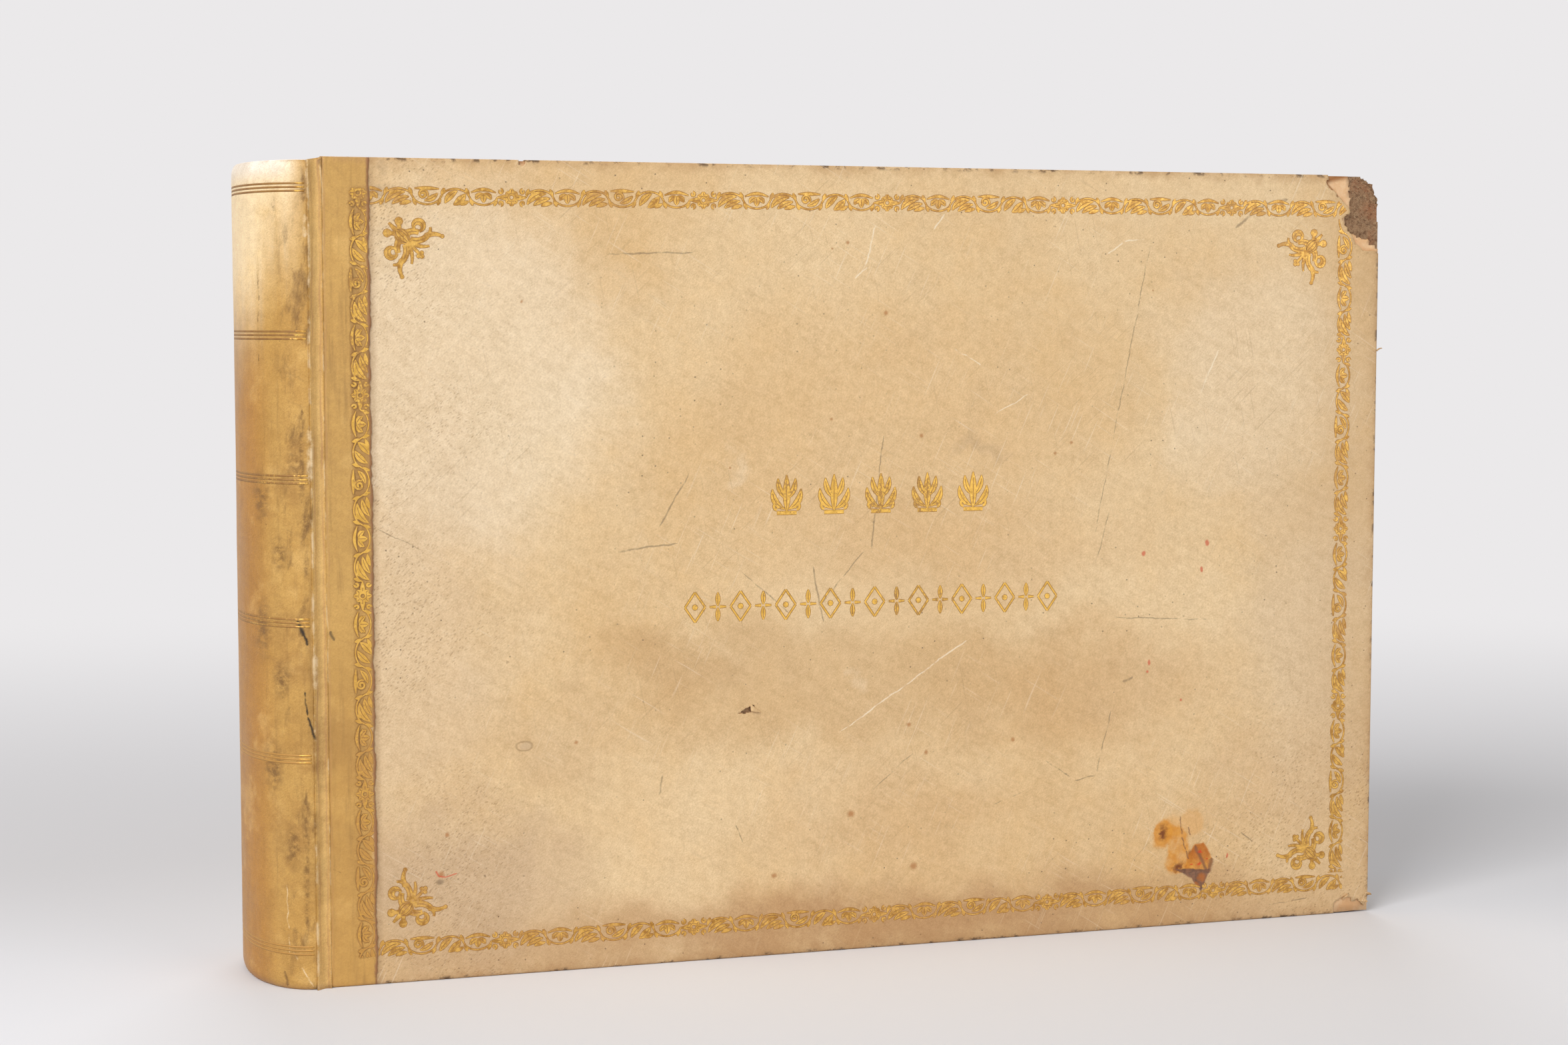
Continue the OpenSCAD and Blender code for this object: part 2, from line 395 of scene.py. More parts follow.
pasteboard, shader, place = start_material("pasteboard", 0.92, 0.12)
clumps = shader.noise(place, 420, 6, 0.72)
drifts = shader.noise(place, 110, 4, 0.6)
fibres = shader.noise(shader.turned(place, 25, (0.006, 0.006, 0.0012)), 5, 4, 0.7)
specks = shader.rise(shader.noise(place, 800, 3, 0.6), 0.54, 0.66)
colour = shader.mix(shader.rise(clumps, 0.34, 0.62), pulp_dark, pulp_brown)
colour = shader.mix(shader.rise(drifts, 0.46, 0.7, 0.6), colour, pulp_red)
colour = shader.mix(shader.rise(fibres, 0.5, 0.72, 0.7), colour, pulp_pale)
colour = shader.mix(shader.times(specks, 0.6), colour, pulp_speck)
shader.dress(colour, shader.plus(clumps, shader.times(fibres, 0.8)), 0.9, 0.9 * MM)

head_corner = Vector((fore_x, 0, head_z))
tail_corner = Vector((fore_x, 0, 0))
bends = [math.radians(10 * i) for i in range(10)]
worn_tail = [(3, tail_start_mm), (3, -3), (-tail_start_mm, -3)]
worn_tail += [
    (tail_round_mm * math.sin(a) - tail_start_mm, tail_start_mm - tail_round_mm * math.cos(a)) for a in bends
]
plies = bmesh.new()
ply_t = (board_high.y - board_low.y) / ply_count
for ply in range(ply_count):
    bm = upright_grid(board_low.x, board_high.x, board_low.z, board_high.z, coarse_cell)
    refine(bm, head_corner, 46 * MM, 2)
    refine(bm, head_corner, 34 * MM, 3)
    refine(bm, tail_corner, 40 * MM, 2)
    refine(bm, tail_corner, 16 * MM, 2)
    back = split_back if ply == split_ply else 0
    gone = [(du + back, dz + back) for du, dz in worn_head]
    cut_away(bm, torn_outline(head_corner, gone, 1.0 * MM, 3.7 * ply), 0.45 * MM)
    cut_away(bm, torn_outline(tail_corner, worn_tail, 0.2 * MM, 1.1), 0.5 * MM)
    deepen(bm, ply_t * ply_solid)
    bmesh.ops.translate(bm, vec=(0, board_low.y + ply * ply_t, 0), verts=bm.verts)
    for v in bm.verts:
        off = (flat_place(v) - head_corner).length
        pluck = max(0, 1 - off / (40 * MM))
        v.co.y += 0.22 * MM * pluck * ripple(v.co.x, v.co.z, 420, ply)
        v.co.y += 0.12 * MM * pluck * ripple(v.co.x, v.co.z, 1300, ply)
    join_copy(plies, bm)
    bm.free()
front_board = make_piece("pasteboard_front", plies, pasteboard, crease=50)
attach(front_board, "front_cover")
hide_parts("front_board")


def dress_node(name, material):
    """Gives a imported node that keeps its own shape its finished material."""
    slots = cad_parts[name].data.materials
    slots.clear()
    slots.append(material)


dress_node("back_board", pasteboard)

# Lining paper: thin peach paper pasted over the outside of each board, under the vellum.
# It shows where the vellum has torn at the head corner and chipped at the tail corner.
lining_low, lining_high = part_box("front_lining")
lining_t = 0.25 * MM
curl_reach = 40 * MM
curl_lift = 0.25 * MM
paper_tear = [
    (-17, 3), (-16.8, -0.6), (-15.8, -6.2), (-16.2, -10.4), (-15.8, -16), (-18.4, -20.6), (-17.4, -24.8),
    (-15, -27.4), (-11, -28.4), (-8.6, -30), (-5.8, -29.7), (-4.4, -31.7), (-0.9, -35.4), (3, -36), (3, 3),
]
hole_spot = Vector((joint_x + 184.8 * MM, 0, 110.7 * MM))
puncture = [(-5.2, -1.4), (-2.4, 0.3), (1.6, 2.3), (2.6, 1.7), (1.4, -0.6), (-1.8, -1.6)]
peach = tone(228, 182, 134)
peach_pale = tone(240, 206, 164)
peach_burnt_and_shadow = tone(150, 96, 52)
peach_fuzz = tone(206, 152, 104)

# Lines along the tear, the first a painted shadow under the torn vellum's diagonal edge, the second a browned
# band by the head: ends in mm from the head corner, and width
tear_shadow_and_burnt_lines = [((-29, -2.8), (-16, -16.4), 1.3), ((-29.2, -3), (-20, -0.4), 3.2)]

lining_paper, shader, place = start_material("lining_paper", 0.85, 0.15)
mottle = shader.noise(place, 160, 5, 0.6)
fuzz = shader.noise(place, 1500, 3, 0.6)
colour = shader.mix(shader.rise(mottle, 0.35, 0.7), peach, peach_pale)
colour = shader.mix(shader.times(fuzz, 0.25), colour, peach_fuzz)
sides = shader.axes(place)
ragged = shader.plus(sides["Z"], shader.times(mottle, 5 * MM))
near_head = shader.rise(ragged, head_z - 1 * MM, head_z + 3.4 * MM)
colour = shader.mix(near_head, colour, peach_burnt_and_shadow)
# Painted shadow under the torn vellum's edge, and a browned band, laid over the paper
for start, end, wide in tear_shadow_and_burnt_lines:
    ends = [(fore_x + du * MM, lining_low.y, head_z + dz * MM) for du, dz in (start, end)]
    gap = shader.to_line(place, *ends)[0]
    gap = shader.plus(gap, shader.times(mottle, 0.6 * MM))
    colour = shader.mix(shader.fall(gap, 0.2 * MM, wide * MM, 0.85), colour, peach_burnt_and_shadow)
shader.dress(colour, fuzz, 0.5, 0.3 * MM)


def thicken(piece, thickness, offset=-1.0):
    """Gives a sheet its thickness, on the side away from its face."""
    wall = piece.modifiers.new("thickness", "SOLIDIFY")
    wall.thickness = thickness
    wall.offset = offset


bm = upright_grid(lining_low.x, lining_high.x, lining_low.z, lining_high.z, coarse_cell)
refine(bm, head_corner, 50 * MM, 2)
refine(bm, head_corner, 38 * MM, 2)
refine(bm, tail_corner, 34 * MM, 2)
cut_away(bm, torn_outline(head_corner, paper_tear, 0.5 * MM, 1.3), 0.8 * MM)
cut_away(bm, torn_outline(tail_corner, worn_tail, 0.2 * MM, 1.1), 0.8 * MM)
refine(bm, hole_spot, 30 * MM, 3)
refine(bm, hole_spot, 9 * MM, 2)
cut_away(bm, torn_outline(hole_spot, puncture, 0.2 * MM, 6.2), 0.3 * MM)
for v in bm.verts:
    off = (flat_place(v) - head_corner).length
    lift = curl_lift if v.is_boundary and off < curl_reach else 0
    v.co.y = lining_low.y - lift * (0.5 + noise.noise(v.co * 300))
bmesh.ops.smooth_vert(bm, verts=bm.verts, factor=0.3, use_axis_y=True)
front_lining = make_piece("lining_paper_front", bm, lining_paper)
thicken(front_lining, lining_t)
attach(front_lining, "front_cover")
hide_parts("front_lining")
dress_node("back_lining", lining_paper)

# Side vellum: one calf skin on each board, drawn over the edges and turned in. It is grained
# with follicles, rubbed and stained, with a torn head corner and a chip at the tail.
edge_round = 1.3 * MM
corner_round = 4 * MM
turn_in = 16 * MM
skin_t = 0.5 * MM
skin_cell = 4 * MM
under_lap = 3 * MM
tear_lift = 0.5 * MM
tuck_depth = 0.3 * MM
slow_wave = 0.30 * MM
quick_wave = 0.07 * MM
nick_spot = Vector((joint_x + 84.5 * MM, 0, head_z - edge_round))
wrap_depth = skin_high.y - skin_low.y
vellum_tear = [
    (-25.8, 3), (-26, -0.6), (-29, -2.8), (-27.8, -5.4), (-21.6, -10.6), (-16, -16.3), (-16.4, -17.6),
    (-20.6, -20.4), (-18, -24.4), (-15.6, -27.6), (-12.6, -32), (-9.2, -34.4), (-6.4, -36), (-5.6, -35),
    (3, -36.2), (3, 3),
]
tail_chip = [(-18.5, -3), (-18.5, 4.6), (-13.7, 7.6), (-8, 7), (-4.6, 5.4), (-2.6, 2.6), (-2.6, -3)]
head_notch = [(-1.4, 2), (-1.2, -0.6), (0.2, -1.5), (1.5, -0.3), (1.7, 2)]


def node_group(name, inputs, outputs):
    """An empty shader group: its shader calls, its input sockets and its output sockets."""
    tree = bpy.data.node_groups.new(name, "ShaderNodeTree")
    for label, (kind, value) in inputs.items():
        socket = tree.interface.new_socket(label, in_out="INPUT", socket_type="NodeSocket" + kind)
        socket.default_value = value
    for label, kind in outputs.items():
        tree.interface.new_socket(label, in_out="OUTPUT", socket_type="NodeSocket" + kind)
    given = tree.nodes.new("NodeGroupInput").outputs
    result = tree.nodes.new("NodeGroupOutput").inputs
    return Shader(tree), given, result


# A soft spot of a given size about a centre
spot_shader, given, result = node_group(
    "soft_spot",
    {
        "Place": ("Vector", (0, 0, 0)),
        "Centre": ("Vector", (0, 0, 0)),
        "Size": ("Vector", (1, 1, 1)),
        "Soft": ("Float", 0.5),
    },
    {"Mask": "Float"},
)
offset = spot_shader.vector("SUBTRACT", given["Place"], given["Centre"])
ring = spot_shader.vector("LENGTH", spot_shader.vector("DIVIDE", offset, given["Size"]))
inner = spot_shader.minus(1.0, given["Soft"])
spot_shader.feed(result["Mask"], spot_shader.fall(ring, inner, 1.0))
soft_spot = spot_shader.tree

# A thin line between two points, broken up by the value given as Breaks
line_shader, given, result = node_group(
    "scratch_line",
    {
        "Place": ("Vector", (0, 0, 0)),
        "Start": ("Vector", (0, 0, 0)),
        "End": ("Vector", (1, 0, 0)),
        "Width": ("Float", 0.001),
        "Breaks": ("Float", 1.0),
    },
    {"Mask": "Float"},
)
gap, share = line_shader.to_line(given["Place"], given["Start"], given["End"])
taper = line_shader.times(line_shader.minus(1.0, share), share)
wide = line_shader.times(given["Width"], line_shader.rise(taper, -0.02, 0.12))
mark = line_shader.fall(line_shader.maths("DIVIDE", gap, wide), 0.1, 1.15)
line_shader.feed(result["Mask"], line_shader.times(mark, given["Breaks"]))
scratch_line = line_shader.tree

# The skin itself: clouding, fine grain, follicles and rubbed in dirt
skin_shader, given, result = node_group(
    "vellum_skin",
    {
        "Place": ("Vector", (0, 0, 0)),
        "Pale": ("Color", (1, 1, 1, 1)),
        "Tan": ("Color", (1, 1, 1, 1)),
        "Dirt": ("Color", (0, 0, 0, 1)),
        "Dirtiness": ("Float", 0.4),
        "Pores": ("Float", 0.5),
    },
    {"Colour": "Color", "Shade": "Color", "Height": "Float", "Roughness": "Float"},
)
place = given["Place"]
clouds = skin_shader.noise(place, 9, 4, 0.55)
patches = skin_shader.noise(place, 46, 5, 0.62)
mottle = skin_shader.noise(place, 230, 3, 0.6)
grain = skin_shader.noise(place, 1700, 2, 0.6)
hatch = skin_shader.noise(skin_shader.turned(place, -38, (0.010, 0.010, 0.0010)), 5, 3, 0.65)
tan_share = skin_shader.plus(clouds, skin_shader.times(patches, 0.5))
colour = skin_shader.mix(skin_shader.rise(tan_share, 0.38, 1.12), given["Pale"], given["Tan"])
smears = skin_shader.noise(skin_shader.turned(place, 28, (0.05, 0.05, 0.006)), 3, 5, 0.7)
dirt = skin_shader.times(
    skin_shader.rise(smears, 0.5, 0.85), skin_shader.rise(patches, 0.38, 0.7), given["Dirtiness"]
)
colour = skin_shader.mix(dirt, colour, given["Dirt"])
slanted = skin_shader.turned(place, -40, (0.0022, 0.0022, 0.0011))
cells = skin_shader.node("TexVoronoi", {"Vector": slanted, "Scale": 1.0}).outputs["Distance"]
follicles = skin_shader.times(skin_shader.fall(cells, 0.1, 0.42), given["Pores"])
colour = skin_shader.mix(skin_shader.times(follicles, 0.3), colour, given["Dirt"])
specks = skin_shader.rise(mottle, 0.72, 0.78)
colour = skin_shader.mix(skin_shader.times(specks, 0.6), colour, given["Dirt"])
light = skin_shader.plus(skin_shader.times(grain, 0.54), 0.73)
for texture, share in ((mottle, 0.38), (hatch, 0.5), (patches, 0.36), (smears, 0.3)):
    light = skin_shader.plus(light, skin_shader.times(skin_shader.minus(texture, 0.5), share))
light = skin_shader.minus(light, skin_shader.times(follicles, 0.15))
warmer = skin_shader.maths("POWER", light, 0.8)
deeper = skin_shader.maths("POWER", light, 1.3)
shade = skin_shader.node("CombineColor", {0: warmer, 1: light, 2: deeper}).outputs[0]
skin_shader.feed(result["Shade"], shade)
skin_shader.feed(result["Colour"], colour)
fine = skin_shader.minus(skin_shader.times(grain, 0.5), follicles)
skin_shader.feed(result["Height"], skin_shader.plus(fine, skin_shader.times(hatch, 0.6)))
skin_shader.feed(result["Roughness"], skin_shader.plus(skin_shader.times(patches, 0.28), 0.36))
vellum_skin = skin_shader.tree


def on_cover(u, z):
    """Place on a cover, in mm from the joint line and from the tail, as the marks read it."""
    return (joint_x + u * MM, 0, z * MM)


side_pale = tone(233, 206, 164)
side_tan = tone(216, 179, 127)
# This dirt tone also serves for the painted shadow along the lap's seam
side_dirt_and_shadow = tone(146, 112, 74)
# This brown also serves for painted shade towards the tail and the fore edge
edge_brown_and_shade = tone(176, 134, 88)
chip_brown = tone(86, 62, 40)
pencil = tone(112, 92, 68)
rubbed = tone(243, 226, 198)
amber = tone(220, 152, 54)
amber_deep = tone(178, 96, 22)
amber_burnt = tone(112, 54, 18)
amber_dark = tone(92, 62, 52)
amber_painted_sheen = tone(134, 92, 70)
amber_red = tone(208, 66, 30)
ring_grey = tone(196, 172, 142)
red_ink = tone(206, 92, 62)
rust = tone(174, 112, 56)

# Broad clouds: centre and size in mm, softness, share and tone
clouds_seen = [
    ((250, 225), (130, 85), 0.6, 0.45, (217, 180, 130)), ((240, 120), (150, 46), 0.7, 0.58, (202, 164, 114)),
    ((150, 134), (50, 26), 0.8, 0.5, (194, 156, 108)), ((100, 100), (40, 24), 0.8, 0.35, (198, 164, 122)),
    ((352, 114), (90, 44), 0.8, 0.52, (204, 164, 114)), ((250, 60), (80, 36), 0.8, 0.45, (204, 164, 114)),
    ((60, 262), (84, 96), 0.5, 0.42, (240, 224, 198)), ((36, 150), (60, 120), 0.8, 0.45, (220, 195, 163)),
    ((56, 40), (80, 46), 0.8, 0.65, (194, 164, 132)), ((428, 255), (60, 86), 0.55, 0.36, (234, 215, 186)),
    ((458, 130), (46, 120), 0.8, 0.5, (214, 188, 154)), ((250, 12), (270, 26), 0.9, 0.8, (184, 142, 98)),
    ((290, 178), (120, 34), 0.8, 0.3, (206, 166, 116)), ((438, 64), (50, 34), 0.8, 0.4, (206, 170, 126)),
    ((22, 338), (10, 12), 0.9, 0.55, (150, 128, 104)),
    ((176.5, 221.6), (7, 8), 0.9, 0.3, (238, 218, 186)), ((236.4, 121.8), (7, 8), 0.9, 0.28, (234, 212, 178)),
    ((296, 226), (16, 8), 0.9, 0.35, (176, 146, 112)), ((20.8, 69), (2.2, 6), 0.6, 0.6, (186, 136, 108)),
    ((20.6, 34), (2, 7), 0.6, 0.6, (186, 136, 108)),
]
pencil_lines = [
    ((143, 191), (157.5, 216), 0.5), ((123.5, 182), (153, 185.6), 0.55), ((121, 310.4), (161, 311.7), 0.5),
    ((418.4, 324.4), (434, 336), 0.9), ((434, 336), (446, 338.5), 0.9), ((349, 180), (377.6, 324.7), 0.35),
    ((325.8, 81.6), (341, 71), 0.4), ((341, 71), (351, 73), 0.4), ((351, 73), (359, 103.6), 0.4),
    ((358.7, 146), (414.5, 143), 0.35), ((20.7, 195.2), (41, 184.6), 0.35), ((145, 84.3), (143.2, 74), 0.5),
    ((181, 172), (205, 152), 0.45), ((214, 152), (240, 182), 0.4), ((214, 175), (219, 147.6), 0.6),
    ((178, 60), (182, 52), 0.4), ((240, 70), (262, 88), 0.3), ((300, 62), (318, 68), 0.3),
    ((247.3, 233.4), (241, 176), 0.5), ((358, 197.7), (349.6, 169), 0.4),
    ((364.5, 116.3), (369.5, 117.8), 0.8), ((425.4, 42.6), (432.2, 36.9), 0.5), ((440, 6.4), (462, 8.6), 0.4),
]
rub_lines = [
    ((225, 97.5), (293.8, 142.4), 0.45), ((238.5, 306), (243.3, 325), 0.5), ((233, 300), (240, 306), 0.4),
    ((354.9, 312), (363, 318), 0.5), ((363, 318), (373.7, 319.3), 0.5), ((402, 248), (411.8, 270), 0.5),
    ((280, 270), (294, 262), 0.35), ((300, 240), (322, 252), 0.35), ((270, 322), (276, 330), 0.5),
]
foxing = [
    ((230, 316.4), 1.2), ((223, 313.5), 0.8), ((247.8, 285.6), 1.5), ((377.8, 295.8), 0.7),
    ((47.2, 46), 2.0), ((106.7, 100), 1.3), ((176, 218), 0.8), ((262, 36), 2.4), ((268, 88), 1.6),
    ((232, 62), 2.2), ((330, 222), 1.2), ((84, 290), 1.0), ((310, 92), 1.6), ((196, 36), 1.8),
    ((265, 230.6), 1.4), ((337.6, 226.6), 1.3), ((222.6, 238.6), 1.0), ((259.4, 100.8), 1.6),
    ((50, 62.6), 1.4),
]
red_strokes = [
    ((44.8, 47.5), (46.2, 45), 0.6), ((45.8, 45.2), (49.2, 44.5), 0.5), ((48.6, 44.4), (54.2, 46), 0.4),
]
red_specks = [
    ((406.3, 179), (1.3, 2.2)), ((374.3, 174.8), (1.2, 1.4)), ((403.9, 167), (0.9, 1.8)),
    ((377.7, 124.6), (0.9, 1.8)), ((377, 120.3), (0.8, 0.9)), ((418.8, 31.8), (0.6, 1.6)),
    ((394, 106), (0.7, 0.9)),
]
amber_neck = [
    ((391, 43.6), (7.6, 7)), ((393.6, 39), (8, 8.4)), ((394, 33.6), (8.6, 8.6)), ((391.6, 29.4), (7, 7.4)),
    ((397, 29.6), (8, 8)),
]
amber_lobe = [((386.2, 45.8), (6.8, 6.6)), ((384.8, 41.6), (6.6, 7.4))]
amber_faint = [((401, 50.4), (7, 7)), ((402, 46.6), (7, 7)), ((398, 47), (8, 9)), ((390, 47), (8, 8))]
amber_cores = [((385.6, 44), (3.8, 5.6)), ((394, 27), (5.4, 3.8)), ((400.4, 33.4), (2.6, 3.2))]
amber_shard = [(395.9, 26.3), (401.7, 37.8), (406.8, 38.4), (411.5, 30.5), (410, 24.4)]
amber_burns = [
    [(391.8, 26.6), (396, 26.8), (409.9, 25.8), (409.4, 23.4), (400.4, 21.8)],
    [(399.6, 26), (410.4, 26), (405.5, 15), (400, 22.4)],
]
amber_lines = [
    ((401.9, 37.6), (408.4, 25), 1.3), ((411.1, 31), (409.2, 23.6), 1.5), ((394.3, 52), (395.4, 42), 0.45),
    ((395.4, 42), (397.4, 35.3), 0.5), ((397.4, 35.3), (399.2, 30.7), 0.6),
    ((398.4, 46.5), (399.9, 42.2), 0.5),
]
amber_reds = [
    ((404.2, 28.4), (2.0, 1.2)), ((400.4, 28.2), (1.4, 0.6)), ((405.3, 33.9), (1.3, 0.7)),
    ((408.3, 30.7), (1.2, 0.6)),
]
amber_embers = [((405.6, 21.6), (2.6, 3)), ((403.4, 18.4), (1.6, 2))]
grey_blot = [((46.6, 42.8), (2.4, 1.7))]
ring_outer = [((83.8, 99.6), (4.2, 2.6))]
ring_inner = [((83.8, 99.6), (3.4, 1.9))]
ring_fill = [((84.4, 99.6), (3.4, 2.2))]

# Hairlines of handling: their slant in degrees, tone and share
hairlines = [(24, rubbed, 0.36), (-58, rubbed, 0.28), (47, side_dirt_and_shadow, 0.22), (-12, side_dirt_and_shadow, 0.18)]

# The other cover has been handled as much, with marks of its own
draws = random.Random(7)
back_clouds = []
for shade in 3 * [(202, 164, 114), (236, 218, 188), (196, 160, 118), (184, 142, 98)]:
    centre = (draws.uniform(40, 460), draws.uniform(30, 320))
    size = (draws.uniform(50, 130), draws.uniform(26, 70))
    back_clouds.append((centre, size, 0.8, 0.32, shade))
back_scores = []
for _ in range(18):
    u, z = draws.uniform(40, 440), draws.uniform(30, 310)
    end = (u + draws.uniform(-28, 28), z + draws.uniform(-16, 16))
    back_scores.append(((u, z), end, draws.uniform(0.3, 0.6)))
back_foxing = [
    ((draws.uniform(30, 470), draws.uniform(20, 330)), draws.uniform(0.8, 2.4)) for _ in range(16)
]


def spots(shader, where, listed, soft, share=1.0, at=on_cover):
    """Mask of soft spots, each listed as its centre and its size in mm."""
    total = 0.0
    for centre, (wide, tall) in listed:
        feeds = {"Place": where, "Centre": at(*centre), "Size": (wide * MM, 1, tall * MM), "Soft": soft}
        total = shader.larger(total, shader.group(soft_spot, feeds)["Mask"])
    return shader.times(total, share)


def pool(shader, where, listed, level, soft, share=1.0):
    """Mask of spots that run together, with its edge where their sum reaches a level."""
    total = 0.0
    for spot in listed:
        total = shader.plus(total, spots(shader, where, [spot], 1.0))
    return shader.rise(total, level - soft, level + soft, share)


def lines(shader, where, listed, share, breaks=1.0, at=on_cover):
    """Mask of thin lines, each listed as its two ends and its width in mm."""
    total = 0.0
    for start, end, width in listed:
        feeds = {"Place": where, "Start": at(*start), "End": at(*end), "Width": width * MM, "Breaks": breaks}
        total = shader.larger(total, shader.group(scratch_line, feeds)["Mask"])
    return shader.times(total, share)


def facet(shader, where, corners):
    """How far a place lies inside an outline that bulges everywhere, its corners clockwise."""
    depth = 1.0
    for (u, z), (u_next, z_next) in edges_of(corners):
        length = math.hypot(u_next - u, z_next - z)
        off = shader.vector("SUBTRACT", where, on_cover(u, z))
        side = shader.vector("DOT_PRODUCT", off, ((z_next - z) / length, 0, (u - u_next) / length))
        depth = shader.smaller(depth, side)
    return depth


def spilled(shader, axes, flat, tight, colour):
    """Lays the red ink, the ring and the amber spill over a colour; also returns the burnt part."""
    colour = shader.mix(spots(shader, tight, red_specks, 0.5, 0.75), colour, red_ink)
    colour = shader.mix(lines(shader, flat, red_strokes, 0.8), colour, red_ink)
    colour = shader.mix(spots(shader, tight, grey_blot, 0.7, 0.6), colour, pencil)
    running = shader.shaken(flat, 190.0, 5.4 * MM, 7.0)
    firm = shader.shaken(flat, 300.0, 2.0 * MM, 6.0)
    curdle = shader.rise(shader.noise(flat, 420, 5, 0.7), 0.36, 0.64)
    soaked = shader.rise(shader.noise(flat, 170, 5, 0.65), 0.34, 0.62)
    patchy = shader.plus(shader.times(soaked, 0.4), 0.46)
    colour = shader.mix(pool(shader, running, amber_faint, 0.4, 0.36, 0.32), colour, amber)
    neck = shader.times(pool(shader, running, amber_neck, 0.36, 0.22), patchy)
    colour = shader.mix(neck, colour, amber)
    lobe = pool(shader, running, amber_lobe, 0.3, 0.22)
    colour = shader.mix(shader.times(lobe, 0.86), colour, amber)
    wet = shader.larger(neck, lobe)
    colour = shader.mix(shader.times(wet, curdle, 0.35), colour, amber_deep)
    crust = shader.rise(shader.noise(flat, 300, 5, 0.65), 0.4, 0.56, 0.92)
    crust = shader.times(spots(shader, running, amber_cores, 0.8), crust)
    colour = shader.mix(crust, colour, amber_burnt)
    shard = shader.rise(facet(shader, firm, amber_shard), -0.5 * MM, 0.7 * MM)
    hot = shader.mix(shader.times(curdle, 0.7), amber, amber_deep)
    colour = shader.mix(shader.times(shard, 0.86), colour, hot)
    crown = shader.plus(axes["Z"], shader.times(soaked, 5 * MM))
    crown = shader.times(shard, shader.rise(crown, 30 * MM, 40 * MM, 0.8))
    colour = shader.mix(crown, colour, amber_deep)
    wedge = 0.0
    for corners in amber_burns:
        wedge = shader.larger(wedge, shader.rise(facet(shader, firm, corners), -0.3 * MM, 0.5 * MM))
    # The burnt wedge: dark brown, with patches of painted grey sheen
    burnt = shader.mix(curdle, amber_dark, amber_painted_sheen)
    burnt = shader.mix(spots(shader, running, amber_embers, 0.8, 0.8), burnt, amber_deep)
    colour = shader.mix(shader.times(wedge, 0.92), colour, burnt)
    colour = shader.mix(lines(shader, firm, amber_lines, 0.72), colour, burnt)
    colour = shader.mix(spots(shader, running, amber_reds, 0.7, 0.85), colour, amber_red)
    circle = shader.minus(spots(shader, tight, ring_outer, 0.25), spots(shader, tight, ring_inner, 0.3))
    colour = shader.mix(spots(shader, tight, ring_fill, 0.5, 0.4), colour, ring_grey)
    colour = shader.mix(shader.times(circle, 0.5), colour, side_dirt_and_shadow)
    return colour, wedge


